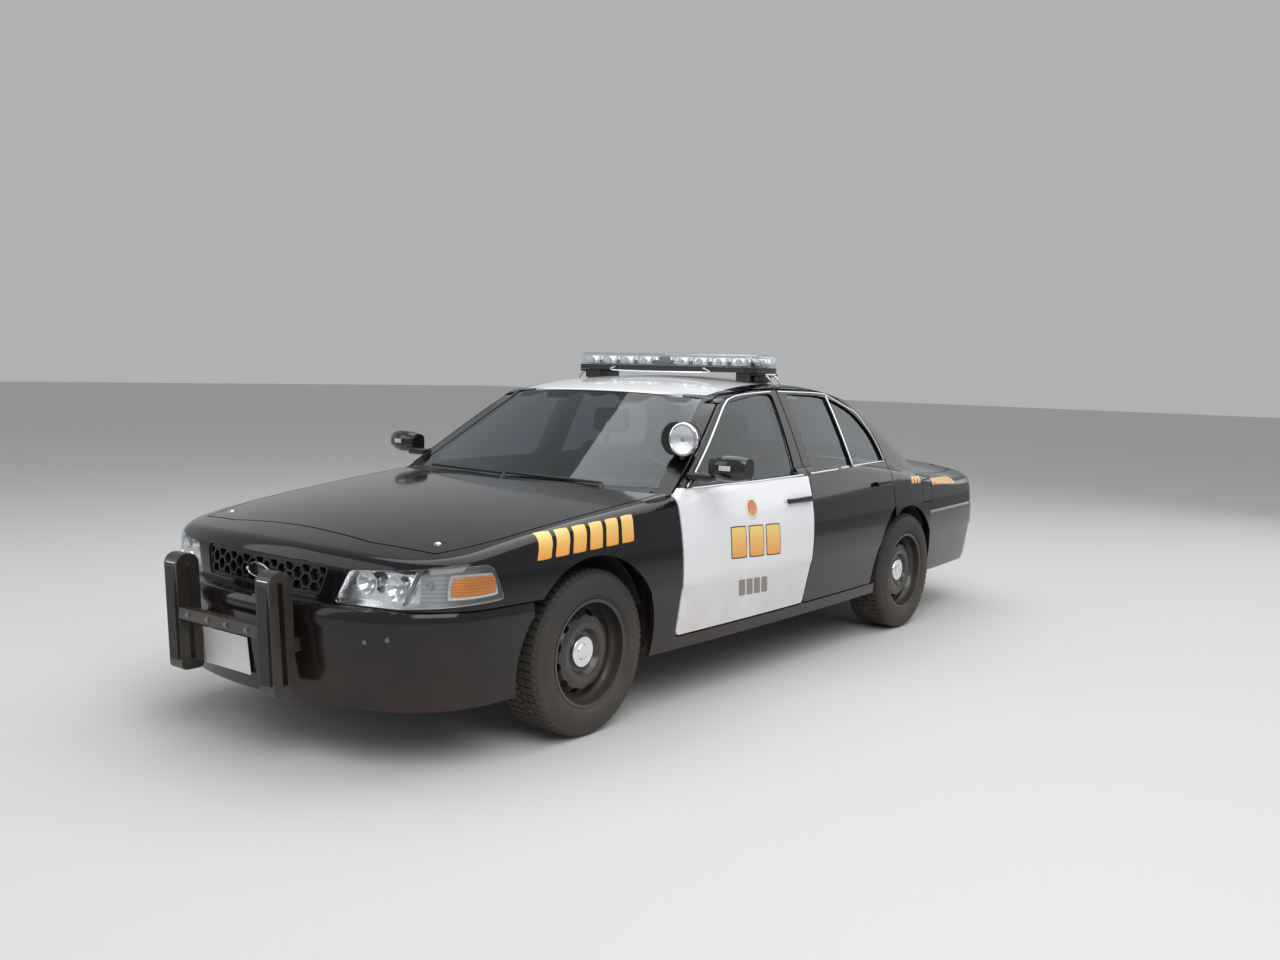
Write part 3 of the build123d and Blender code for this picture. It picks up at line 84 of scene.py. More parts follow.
def makeCamera(s):
    forward = Vector((cos(s["pitch"]) * cos(s["yaw"]), cos(s["pitch"]) * sin(s["yaw"]), sin(s["pitch"])))
    level = Vector((sin(s["yaw"]), -cos(s["yaw"]), 0))
    upright = level.cross(forward)
    right = level * cos(s["roll"]) + upright * sin(s["roll"])
    up = -level * sin(s["roll"]) + upright * cos(s["roll"])
    data = bpy.data.cameras.new("photoCamera")
    data.sensor_width = s["sensor"]
    data.lens = s["focalPixels"] / s["imageWidth"] * s["sensor"]
    data.clip_end = 200
    camera = bpy.data.objects.new("photoCamera", data)
    turn = Matrix((right, up, -forward)).transposed().to_4x4()
    camera.matrix_world = Matrix.Translation(Vector(s["place"])) @ turn
    scene.collection.objects.link(camera)
    scene.camera = camera


makeCamera(cameraSettings)


# node helpers for the materials
def newMaterial(name):
    material = bpy.data.materials.new(name)
    material.use_nodes = True
    tree = material.node_tree
    return material, tree, tree.nodes["Principled BSDF"]


def addNode(tree, kind, **settings):
    node = tree.nodes.new(kind)
    for key, value in settings.items():
        setattr(node, key, value)
    return node


def linkTo(tree, source, target):
    tree.links.new(source, target)


def wire(tree, *rows):
    # each row is a node, its output, the next node and its input
    for source, output, target, socket in rows:
        linkTo(tree, source.outputs[output], target.inputs[socket])


def setInputs(node, values):
    for label, value in values.items():
        node.inputs[label].default_value = value


def newGroup(name, inputs, outputs):
    group = bpy.data.node_groups.new(name, "ShaderNodeTree")
    for label, kind, default in inputs:
        socket = group.interface.new_socket(label, in_out="INPUT", socket_type="NodeSocket" + kind)
        if default is not None:
            socket.default_value = default
    for label, kind in outputs:
        group.interface.new_socket(label, in_out="OUTPUT", socket_type="NodeSocket" + kind)
    return group, group.nodes.new("NodeGroupInput"), group.nodes.new("NodeGroupOutput")


def mathNode(tree, operation, first, second):
    node = addNode(tree, "ShaderNodeMath", operation=operation)
    for socket, value in ((node.inputs[0], first), (node.inputs[1], second)):
        if isinstance(value, float):
            socket.default_value = value
        else:
            linkTo(tree, value, socket)
    return node.outputs["Value"]


def makeFineGrain():
    # fine bump and a slight change of tone, on object coordinates
    group, inside, out = newGroup(
        "fineGrain",
        (("Scale", "Float", 900.0), ("Depth", "Float", 0.2), ("Size", "Float", 0.0004)),
        (("Tone", "Float"), ("Normal", "Vector")),
    )
    place = addNode(group, "ShaderNodeTexCoord")
    noise = addNode(group, "ShaderNodeTexNoise")
    setInputs(noise, {"Detail": 3.0})
    bump = addNode(group, "ShaderNodeBump")
    wire(group, (place, "Object", noise, "Vector"), (inside, "Scale", noise, "Scale"),
         (inside, "Depth", bump, "Strength"), (inside, "Size", bump, "Distance"),
         (noise, "Fac", bump, "Height"), (noise, "Fac", out, "Tone"), (bump, "Normal", out, "Normal"))
    return group


def makeRoadDust():
    # more dust low on the car, in broad patches
    group, inside, out = newGroup(
        "roadDust",
        (("Low", "Float", 0.15), ("High", "Float", 0.75), ("Amount", "Float", 0.3)),
        (("Mask", "Float"),),
    )
    place = addNode(group, "ShaderNodeTexCoord")
    split = addNode(group, "ShaderNodeSeparateXYZ")
    noise = addNode(group, "ShaderNodeTexNoise")
    setInputs(noise, {"Scale": 5.0, "Detail": 7.0})
    height = addNode(group, "ShaderNodeMapRange")
    setInputs(height, {"To Min": 1.0, "To Max": 0.06})
    wire(group, (place, "Object", split, "Vector"), (place, "Object", noise, "Vector"),
         (split, "Z", height, "Value"), (inside, "Low", height, "From Min"),
         (inside, "High", height, "From Max"))
    mixed = mathNode(group, "MULTIPLY", height.outputs["Result"], noise.outputs["Fac"])
    linkTo(group, mathNode(group, "MULTIPLY", mixed, inside.outputs["Amount"]), out.inputs["Mask"])
    return group


def makeWeave():
    # crossed threads on object coordinates, for cloth
    group, inside, out = newGroup(
        "clothWeave",
        (("Threads", "Float", 1400.0), ("Depth", "Float", 0.6)),
        (("Tone", "Float"), ("Normal", "Vector")),
    )
    place = addNode(group, "ShaderNodeTexCoord")
    split = addNode(group, "ShaderNodeSeparateXYZ")
    wire(group, (place, "Object", split, "Vector"))
    waves = []
    for axis in ("X", "Y", "Z"):
        turned = mathNode(group, "MULTIPLY", split.outputs[axis], inside.outputs["Threads"])
        waves.append(mathNode(group, "SINE", turned, 0.0))
    crossed = mathNode(group, "MULTIPLY", waves[0], waves[1])
    crossed = mathNode(group, "ADD", crossed, mathNode(group, "MULTIPLY", waves[1], waves[2]))
    noise = addNode(group, "ShaderNodeTexNoise")
    setInputs(noise, {"Scale": 18.0})
    wire(group, (place, "Object", noise, "Vector"))
    tone = mathNode(group, "MULTIPLY", mathNode(group, "ADD", crossed, 2.0), 0.25)
    tone = mathNode(group, "MULTIPLY", tone, mathNode(group, "ADD", noise.outputs["Fac"], 0.5))
    bump = addNode(group, "ShaderNodeBump")
    setInputs(bump, {"Distance": 0.0005})
    wire(group, (inside, "Depth", bump, "Strength"))
    linkTo(group, crossed, bump.inputs["Height"])
    linkTo(group, tone, out.inputs["Tone"])
    wire(group, (bump, "Normal", out, "Normal"))
    return group


fineGrain = makeFineGrain()
roadDust = makeRoadDust()
clothWeave = makeWeave()


def placeGroup(tree, group, **values):
    node = tree.nodes.new("ShaderNodeGroup")
    node.node_tree = group
    for key, value in values.items():
        node.inputs[key].default_value = value
    return node


def mixColors(tree, factor, first, second):
    mix = addNode(tree, "ShaderNodeMix", data_type="RGBA")
    setInputs(mix, {"A": tuple(first[:3]) + (1,), "B": tuple(second[:3]) + (1,)})
    linkTo(tree, factor, mix.inputs["Factor"])
    return mix.outputs["Result"]


paintSettings = {
    "black": {"color": (0.0035, 0.0035, 0.005), "dust": (0.060, 0.037, 0.026), "amount": 0.8,
              "roughness": 0.10,
              "gloss": 0.25, "coat": 0.35},
    "white": {"color": (0.78, 0.79, 0.81), "dust": (0.50, 0.40, 0.31), "amount": 0.9, "roughness": 0.18,
              "gloss": 0.5, "coat": 0.6},
}


def makePaint(name, s):
    material, tree, shader = newMaterial(name)
    dust = placeGroup(tree, roadDust, Amount=s["amount"])
    linkTo(tree, mixColors(tree, dust.outputs["Mask"], s["color"], s["dust"]), shader.inputs["Base Color"])
    rough = addNode(tree, "ShaderNodeMapRange")
    setInputs(rough, {"To Min": s["roughness"], "To Max": s["roughness"] + 0.35})
    wire(tree, (dust, "Mask", rough, "Value"), (rough, "Result", shader, "Roughness"))
    peel = placeGroup(tree, fineGrain, Scale=240.0, Depth=0.02, Size=0.0002)
    wire(tree, (peel, "Normal", shader, "Normal"))
    setInputs(shader, {"Specular IOR Level": s["gloss"], "Coat Weight": s["coat"], "Coat Roughness": 0.02})
    return material


def makePlain(name, color, roughness, metallic=0.0, scale=900.0, depth=0.15, size=0.0003, coat=0.0,
              spread=0.3,
              dust=0.0):
    # a finish whose tone varies a little with a fine grain
    material, tree, shader = newMaterial(name)
    grain = placeGroup(tree, fineGrain, Scale=scale, Depth=depth, Size=size)
    tone = mixColors(tree, grain.outputs["Tone"], [c * (1 - spread) for c in color],
                     [min(1.0, c * (1 + spread)) for c in color])
    if dust:
        film = placeGroup(tree, roadDust, Amount=dust)
        mix = addNode(tree, "ShaderNodeMix", data_type="RGBA")
        setInputs(mix, {"B": (0.16, 0.125, 0.09, 1)})
        wire(tree, (film, "Mask", mix, "Factor"))
        linkTo(tree, tone, mix.inputs["A"])
        tone = mix.outputs["Result"]
    linkTo(tree, tone, shader.inputs["Base Color"])
    wire(tree, (grain, "Normal", shader, "Normal"))
    setInputs(shader, {"Roughness": roughness, "Metallic": metallic, "Coat Weight": coat})
    return material


def makeGlass(name, color, roughness, low, high):
    # clear or tinted glass with a faint film that changes its colour a little
    material, tree, shader = newMaterial(name)
    grain = placeGroup(tree, fineGrain, Scale=7.0, Depth=0.0, Size=0.0001)
    linkTo(tree, mixColors(tree, grain.outputs["Tone"], [c * low for c in color],
                           [c * high for c in color]),
           shader.inputs["Base Color"])
    setInputs(shader, {"Roughness": roughness, "Transmission Weight": 1.0, "IOR": 1.45})
    return material


def makeCloth(name, color, threads, depth, sheen):
    material, tree, shader = newMaterial(name)
    weave = placeGroup(tree, clothWeave, Threads=threads, Depth=depth)
    linkTo(tree, mixColors(tree, weave.outputs["Tone"], [c * 0.55 for c in color],
                           [c * 1.5 for c in color]),
           shader.inputs["Base Color"])
    wire(tree, (weave, "Normal", shader, "Normal"))
    setInputs(shader, {"Roughness": 0.9, "Sheen Weight": sheen})
    return material


def makeRibbed(name, color, roughness, pitch, transmission, axis="Y"):
    # lamp plastic with fine upright ribs
    material, tree, shader = newMaterial(name)
    place = addNode(tree, "ShaderNodeTexCoord")
    split = addNode(tree, "ShaderNodeSeparateXYZ")
    wire(tree, (place, "Object", split, "Vector"))
    wave = mathNode(tree, "SINE", mathNode(tree, "MULTIPLY", split.outputs[axis], 2 * pi / pitch), 0.0)
    bump = addNode(tree, "ShaderNodeBump")
    setInputs(bump, {"Distance": 0.001, "Strength": 0.7})
    linkTo(tree, wave, bump.inputs["Height"])
    wire(tree, (bump, "Normal", shader, "Normal"))
    tone = mathNode(tree, "MULTIPLY", mathNode(tree, "ADD", wave, 1.0), 0.5)
    linkTo(tree, mixColors(tree, tone, [c * 0.8 for c in color], color), shader.inputs["Base Color"])
    setInputs(shader, {"Roughness": roughness, "Transmission Weight": transmission, "Coat Weight": 0.6})
    return material


def makeDecal(name, topColor, lowColor):
    # printed film whose colour runs from its top edge to its foot
    material, tree, shader = newMaterial(name)
    place = addNode(tree, "ShaderNodeUVMap", uv_map="filmMap")
    split = addNode(tree, "ShaderNodeSeparateXYZ")
    wire(tree, (place, "UV", split, "Vector"))
    grain = placeGroup(tree, fineGrain, Scale=600.0, Depth=0.05, Size=0.0001)
    wire(tree, (grain, "Normal", shader, "Normal"))
    linkTo(tree, mixColors(tree, split.outputs["Y"], lowColor, topColor), shader.inputs["Base Color"])
    setInputs(shader, {"Roughness": 0.35, "Coat Weight": 0.4})
    return material


# colour, roughness, metallic, grain scale, depth and size, coat, spread of tone, dust
plainFinishes = {
    "chrome": ((0.80, 0.80, 0.81), 0.07, 1.0, 300.0, 0.02, 0.0001, 0.0, 0.03),
    "reflector": ((0.86, 0.87, 0.88), 0.16, 1.0, 120.0, 0.25, 0.002, 0.0, 0.05),
    "mirrorGlass": ((0.75, 0.78, 0.80), 0.02, 1.0, 40.0, 0.0, 0.0001, 0.0, 0.02),
    "blackPlastic": ((0.012, 0.012, 0.013), 0.38, 0.0, 1400.0, 0.2, 0.0002, 0.0, 0.3, 0.15),
    "grilleBlack": ((0.005, 0.005, 0.005), 0.45, 0.0, 900.0, 0.2, 0.0003),
    "glossPlastic": ((0.008, 0.008, 0.009), 0.12, 0.0, 500.0, 0.02, 0.0001, 0.6),
    "blackRubber": ((0.010, 0.010, 0.010), 0.6, 0.0, 1200.0, 0.2, 0.0002),
    "pushSteel": ((0.018, 0.014, 0.012), 0.34, 0.0, 420.0, 0.22, 0.0004, 0.25, 0.35, 0.3),
    "blackSteel": ((0.014, 0.014, 0.015), 0.33, 0.0, 500.0, 0.12, 0.0003, 0.25, 0.3, 0.45),
    "tyreRubber": ((0.020, 0.0195, 0.019), 0.74, 0.0, 700.0, 0.35, 0.0005, 0.0, 0.3, 0.5),
    "underCoat": ((0.02, 0.02, 0.02), 0.75, 0.0, 300.0, 0.5, 0.001, 0.0, 0.3, 0.3),
    "castIron": ((0.12, 0.115, 0.11), 0.6, 0.6, 400.0, 0.5, 0.0008),
    "brakeSteel": ((0.30, 0.29, 0.28), 0.32, 1.0, 900.0, 0.3, 0.0004),
    "bareAluminium": ((0.5, 0.5, 0.5), 0.4, 0.9, 500.0, 0.3, 0.0005),
    "exhaustSteel": ((0.32, 0.29, 0.26), 0.38, 0.9, 200.0, 0.2, 0.0005),
    "dashPlastic": ((0.05, 0.05, 0.053), 0.62, 0.0, 1600.0, 0.5, 0.0004),
    "trimPlastic": ((0.10, 0.10, 0.105), 0.6, 0.0, 1500.0, 0.4, 0.0003),
    "plateWhite": ((0.74, 0.74, 0.72), 0.4, 0.0, 60.0, 0.05, 0.0002, 0.2, 0.05, 0.2),
}
finishes = {
    "paintBlack": makePaint("paintBlack", paintSettings["black"]),
    "paintWhite": makePaint("paintWhite", paintSettings["white"]),
    "headLining": makeCloth("headLining", (0.26, 0.26, 0.25), 2200.0, 0.3, 0.1),
    "seatCloth": makeCloth("seatCloth", (0.085, 0.088, 0.095), 1500.0, 0.6, 0.25),
    "windowGlass": makeGlass("windowGlass", (0.24, 0.29, 0.32), 0.0, 0.97, 1.0),
    "windshieldGlass": makeGlass("windshieldGlass", (0.48, 0.56, 0.60), 0.0, 0.97, 1.0),
    "clearLens": makeGlass("clearLens", (0.97, 0.98, 0.99), 0.0, 0.97, 1.0),
    "barPlastic": makeGlass("barPlastic", (0.95, 0.97, 0.98), 0.03, 0.95, 1.0),
    "redLens": makeRibbed("redLens", (0.34, 0.006, 0.010), 0.1, 0.012, 0.25),
    "amberLens": makeRibbed("amberLens", (0.95, 0.30, 0.01), 0.15, 0.011, 0.0, "Z"),
    "frostLens": makeRibbed("frostLens", (0.62, 0.64, 0.64), 0.25, 0.016, 0.0, "Z"),
    "whiteLens": makeRibbed("whiteLens", (0.80, 0.81, 0.80), 0.12, 0.012, 0.2),
    "goldFilm": makeDecal("goldFilm", (0.86, 0.62, 0.20), (0.80, 0.33, 0.05)),
    "darkFilm": makeDecal("darkFilm", (0.09, 0.05, 0.03), (0.05, 0.03, 0.02)),
    "paleFilm": makeDecal("paleFilm", (0.80, 0.78, 0.68), (0.70, 0.62, 0.45)),
    "redFilm": makeDecal("redFilm", (0.50, 0.10, 0.04), (0.62, 0.30, 0.10)),
    "greyFilm": makeDecal("greyFilm", (0.22, 0.19, 0.16), (0.24, 0.20, 0.16)),
}
for name, values in plainFinishes.items():
    finishes[name] = makePlain(name, *values)
print("materials made:", len(finishes))


# mesh helpers
bothSides = (("left", 1), ("right", -1))
mergeDistance = 0.00002
cutDistance = 0.00001


def evaluatedMesh(carrier):
    depsgraph = bpy.context.evaluated_depsgraph_get()
    return bpy.data.meshes.new_from_object(carrier.evaluated_get(depsgraph), depsgraph=depsgraph)


def workFrom(mesh, cuts=()):
    # the mesh with merged corners, cut along planes given as (point, normal)
    work = bmesh.new()
    work.from_mesh(mesh)
    bmesh.ops.remove_doubles(work, verts=work.verts, dist=mergeDistance)
    for place, normal in cuts:
        bmesh.ops.bisect_plane(work, geom=list(work.verts) + list(work.edges) + list(work.faces),
                               plane_co=place, plane_no=normal, dist=cutDistance)
    return work


def sheetFaces(work, grid, turned):
    # the quads between the rows of a grid of vertices
    for low, high in zip(grid, grid[1:]):
        for column in range(len(low) - 1):
            four = [low[column], low[column + 1], high[column + 1], high[column]]
            work.faces.new(four[::-1] if turned else four)


def shadeByAngle(work, angle):
    limit = radians(angle)
    for edge in work.edges:
        edge.smooth = len(edge.link_faces) == 2 and edge.calc_face_angle(0) < limit
    for face in work.faces:
        face.smooth = True


def addPiece(name, mesh, materials, body="body", replaced=(), angle=32.0):
    # merges corners, sets the shading and rides the finished piece on its body
    work = workFrom(mesh)
    shadeByAngle(work, angle)
    work.to_mesh(mesh)
    work.free()
    mesh.name = name
    numbers = [polygon.material_index for polygon in mesh.polygons]
    finishList = materials if isinstance(materials, (list, tuple)) else [materials]
    mesh.materials.clear()
    for material in finishList:
        mesh.materials.append(material)
    for polygon, number in zip(mesh.polygons, numbers):
        polygon.material_index = min(number, len(finishList) - 1)
    piece = bpy.data.objects.new(name, mesh)
    scene.collection.objects.link(piece)
    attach(piece, body)
    if replaced:
        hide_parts(*replaced)
    return piece


def fit(name, mesh, finish, body="body", angle=30.0):
    return addPiece(name, mesh, finishes[finish], body, (), angle)


def meshFrom(vertices, faces):
    mesh = bpy.data.meshes.new("shape")
    mesh.from_pydata(vertices, [], faces)
    return mesh


def workMesh(work):
    mesh = bpy.data.meshes.new("shape")
    work.to_mesh(mesh)
    work.free()
    return mesh


def joinMeshes(meshes):
    work = bmesh.new()
    for mesh in meshes:
        work.from_mesh(mesh)
        bpy.data.meshes.remove(mesh)
    return workMesh(work)


def lathe(profile, centre, axis, steps):
    # turns (along, radius) points about an axis through centre
    axis = Vector(axis).normalized()
    side = axis.orthogonal().normalized()
    other = axis.cross(side)
    work = bmesh.new()
    rings = []
    for along, radius in profile:
        ring = []
        for step in range(steps):
            turn = 2 * pi * step / steps
            spoke = side * cos(turn) + other * sin(turn)
            ring.append(work.verts.new(Vector(centre) + axis * along + spoke * radius))
        rings.append(ring)
    for first, second in zip(rings, rings[1:] + rings[:1]):
        for step in range(steps):
            ahead = (step + 1) % steps
            work.faces.new((first[step], first[ahead], second[ahead], second[step]))
    bmesh.ops.remove_doubles(work, verts=work.verts, dist=0.00001)
    bmesh.ops.recalc_face_normals(work, faces=work.faces)
    return workMesh(work)


def roundedBlock(low, high, radius, segments):
    work = bmesh.new()
    centre = (Vector(low) + Vector(high)) / 2
    size = Vector(high) - Vector(low)
    bmesh.ops.create_cube(work, size=1.0)
    bmesh.ops.scale(work, vec=size, verts=work.verts)
    bmesh.ops.bevel(work, geom=list(work.edges), offset=min(radius, min(size) * 0.45), segments=segments,
                    affect="EDGES", profile=0.5)
    bmesh.ops.translate(work, vec=centre, verts=work.verts)
    return workMesh(work)


def joinBlocks(rows):
    return joinMeshes([roundedBlock(*row) for row in rows])


def treeOf(*names):
    # one search tree over the shapes of several CAD nodes
    points, faces = [], []
    for name in names:
        mesh = nodes[name].data
        start = len(points)
        points.extend(vertex.co.copy() for vertex in mesh.vertices)
        faces.extend(tuple(start + corner for corner in polygon.vertices) for polygon in mesh.polygons)
    return BVHTree.FromPolygons(points, faces)


def hitFrom(tree, start, direction):
    place, normal, _, _ = tree.ray_cast(Vector(start), Vector(direction))
    if place is None:
        return None, None
    if normal.dot(Vector(direction)) > 0:
        normal = -normal
    return place, normal


def smoothPath(points, steps=10):
    # points on a smooth curve through all the given ones
    padded = [points[0]] + list(points) + [points[-1]]
    result = []
    for index in range(1, len(padded) - 2):
        before, start, end, after = (Vector(padded[index + move]) for move in (-1, 0, 1, 2))
        for step in range(steps):
            t = step / steps
            bend = (2 * before - 5 * start + 4 * end - after) * t * t
            twist = (3 * start - before - 3 * end + after) * t ** 3
            result.append(0.5 * (2 * start + (end - before) * t + bend + twist))
    result.append(Vector(points[-1]))
    return result


# Geometry Nodes: a bead along a path, and parts set out on points
def geometryTree(name, inputs):
    tree = bpy.data.node_groups.new(name, "GeometryNodeTree")
    tree.interface.new_socket("Geometry", in_out="INPUT", socket_type="NodeSocketGeometry")
    for label, kind, default in inputs:
        socket = tree.interface.new_socket(label, in_out="INPUT", socket_type="NodeSocket" + kind)
        if default is not None:
            socket.default_value = default
    tree.interface.new_socket("Geometry", in_out="OUTPUT", socket_type="NodeSocketGeometry")
    return tree, tree.nodes.new("NodeGroupInput"), tree.nodes.new("NodeGroupOutput")


def finishTree(tree, inside, out, geometry):
    realize = tree.nodes.new("GeometryNodeRealizeInstances")
    paint = tree.nodes.new("GeometryNodeSetMaterial")
    linkTo(tree, geometry, realize.inputs["Geometry"])
    wire(tree, (realize, "Geometry", paint, "Geometry"), (inside, "Material", paint, "Material"),
         (paint, "Geometry", out, "Geometry"))
    return tree


def makeBeadTree():
    tree, inside, out = geometryTree("beadTree", (
        ("Radius", "Float", 0.004), ("Sides", "Int", 8), ("Spacing", "Float", 0.02),
        ("Material", "Material", None)))
    curve = tree.nodes.new("GeometryNodeMeshToCurve")
    resample = addNode(tree, "GeometryNodeResampleCurve", mode="LENGTH")
    ring = addNode(tree, "GeometryNodeCurvePrimitiveCircle", mode="RADIUS")
    sweep = tree.nodes.new("GeometryNodeCurveToMesh")
    wire(tree, (inside, "Geometry", curve, "Mesh"), (curve, "Curve", resample, "Curve"),
         (inside, "Spacing", resample, "Length"), (inside, "Radius", ring, "Radius"),
         (inside, "Sides", ring, "Resolution"), (resample, "Curve", sweep, "Curve"),
         (ring, "Curve", sweep, "Profile Curve"))
    setInputs(sweep, {"Fill Caps": True})
    return finishTree(tree, inside, out, sweep.outputs["Mesh"])


def makePointsTree():
    tree, inside, out = geometryTree("partsOnPoints", (
        ("Shape", "Object", None), ("Size", "Float", 1.0), ("Spread", "Float", 0.0),
        ("Seed", "Int", 7), ("Material", "Material", None)))
    shape = tree.nodes.new("GeometryNodeObjectInfo")
    turn = addNode(tree, "GeometryNodeInputNamedAttribute", data_type="FLOAT_VECTOR")
    setInputs(turn, {"Name": "turn"})
    euler = tree.nodes.new("FunctionNodeEulerToRotation")
    chance = addNode(tree, "FunctionNodeRandomValue", data_type="FLOAT")
    low = addNode(tree, "ShaderNodeMath", operation="SUBTRACT")
    points = tree.nodes.new("GeometryNodeMeshToPoints")
    place = tree.nodes.new("GeometryNodeInstanceOnPoints")
    wire(tree, (inside, "Shape", shape, "Object"), (turn, "Attribute", euler, "Euler"),
         (inside, "Size", low, 0), (inside, "Spread", low, 1), (low, "Value", chance, 2),
         (inside, "Size", chance, 3), (inside, "Seed", chance, "Seed"),
         (inside, "Geometry", points, "Mesh"), (points, "Points", place, "Points"),
         (shape, "Geometry", place, "Instance"), (euler, "Rotation", place, "Rotation"),
         (chance, 1, place, "Scale"))
    return finishTree(tree, inside, out, place.outputs["Instances"])


beadTree = makeBeadTree()
pointsTree = makePointsTree()


def runTree(tree, mesh, values):
    # the tree's result as a plain mesh; its carrier is removed again
    carrier = bpy.data.objects.new("carrier", mesh)
    modifier = carrier.modifiers.new("made", "NODES")
    modifier.node_group = tree
    for item in tree.interface.items_tree:
        if item.in_out == "INPUT" and item.name in values:
            modifier[item.identifier] = values[item.name]
    scene.collection.objects.link(carrier)
    result = evaluatedMesh(carrier)
    bpy.data.objects.remove(carrier)
    bpy.data.meshes.remove(mesh)
    return result


def beadMesh(paths, radius, finish, sides=8, spacing=0.02):
    vertices, edges = [], []
    for path in paths:
        start = len(vertices)
        vertices.extend(path)
        edges.extend((start + step, start + step + 1) for step in range(len(path) - 1))
    mesh = bpy.data.meshes.new("path")
    mesh.from_pydata(vertices, edges, [])
    return runTree(beadTree, mesh, {"Radius": radius, "Sides": sides, "Spacing": spacing,
                                    "Material": finishes[finish]})


pointSeed = 7


def setOut(shapeMesh, places, finish, size=1.0):
    # places are (point, euler turn) pairs
    shape = bpy.data.objects.new("shape", shapeMesh)
    scene.collection.objects.link(shape)
    mesh = bpy.data.meshes.new("points")
    mesh.from_pydata([place for place, _ in places], [], [])
    turns = mesh.attributes.new("turn", "FLOAT_VECTOR", "POINT")
    for index, (_, turn) in enumerate(places):
        turns.data[index].vector = turn
    result = runTree(pointsTree, mesh, {"Shape": shape, "Size": size, "Seed": pointSeed,
                                        "Material": finishes[finish]})
    bpy.data.objects.remove(shape)
    bpy.data.meshes.remove(shapeMesh)
    return result


# plain panels: CAD shapes merged and smoothed
nodeFinish = {
    "paintBlack": ("body_side_left", "body_side_right", "hood", "trunk_lid", "fuel_door", "fenders",
                   "nose_panel",
                   "front_bumper", "rear_bumper", "rear_deck_panel"),
    "blackPlastic": ("cowl_panel", "wipers", "fuel_tank"),
    "glossPlastic": ("mirror_left", "mirror_right", "spotlight"),
    "grilleBlack": ("grille",),
    "pushSteel": ("push_bumper",),
    "blackSteel": ("chassis_frame", "front_suspension", "rear_suspension", "front_wheel_left",
                   "front_wheel_right", "rear_wheel_left", "rear_wheel_right"),
    "underCoat": ("floor_pan", "firewall", "luggage_floor", "front_wheel_housings", "rear_wheel_housings"),
    "castIron": ("engine", "front_knuckle_left", "front_knuckle_right"),
    "bareAluminium": ("radiator",),
    "exhaustSteel": ("exhaust",),
    "dashPlastic": ("dashboard", "steering_wheel"),
    "windshieldGlass": ("windshield",),
    "windowGlass": ("rear_window", "front_glass_left", "front_glass_right", "rear_glass_left",
                    "rear_glass_right"),
}


def smoothCopy(node, materials, choose=None, cuts=(), angle=28.0):
    # the node's own shape with merged corners, so that curved panels shade smoothly
    source = nodes[node]
    mesh = source.data.copy()
    work = workFrom(mesh, cuts)
    work.normal_update()
    for face in work.faces:
        face.material_index = choose(face.calc_center_median(), face.normal) if choose else 0
    work.to_mesh(mesh)
    work.free()
    return addPiece(node + "Panel", mesh, materials, source["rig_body"], (node,), angle)


for finish, names in nodeFinish.items():
    for name in names:
        if name in nodes:
            smoothCopy(name, finishes[finish])
print("plain panels copied")


# doors: painted skin, black frame and handle, trim inside
doorSettings = {
    "front": {"paint": "paintWhite", "belt": 0.981, "handle": (-0.090, 0.158, 0.848, 0.893)},
    "rear": {"paint": "paintBlack", "belt": 0.990, "handle": (-1.066, -0.848, 0.872, 0.921)},
    "proud": 0.004,
}


def doorChooser(place, side):
    # 0 paint, 1 black frame and handle, 2 inner trim
    s = doorSettings[place]
    sign = 1 if side == "left" else -1
    x0, x1, z0, z1 = s["handle"]
    tree = treeOf(place + "_door_" + side)
    heights = []
    for x in (x0, x1):
        for z in (z0 - 0.02, z1 + 0.02):
            spot, _ = hitFrom(tree, (x, sign * 1.3, z), (0, -sign, 0))
            heights.append(abs(spot.y))

    def skinAt(x, z):
        u, v = (x - x0) / (x1 - x0), (z - z0 + 0.02) / (z1 - z0 + 0.04)
        low, high = heights[0] + (heights[2] - heights[0]) * u, heights[1] + (heights[3] - heights[1]) * u
        return low + (high - low) * v

    def choose(spot, normal):
        if normal.y * sign < -0.25 and spot.z < s["belt"] and abs(spot.y) < 0.93:
            return 2
        if spot.z > s["belt"]:
            return 1
        inBox = x0 < spot.x < x1 and z0 < spot.z < z1
        return 1 if inBox and abs(spot.y) > skinAt(spot.x, spot.z) + doorSettings["proud"] else 0
    return choose


for side, _ in bothSides:
    for place in ("front", "rear"):
        s = doorSettings[place]
        doorFinishes = [finishes[name] for name in (s["paint"], "paintBlack", "trimPlastic")]
        smoothCopy(place + "_door_" + side, doorFinishes, doorChooser(place, side),
                   [((0, 0, s["belt"]), (0, 0, 1))])
smoothCopy("roof_panel", [finishes["paintWhite"], finishes["headLining"]],
           lambda place, normal: 1 if normal.z < -0.3 else 0)
print("doors and roof made")


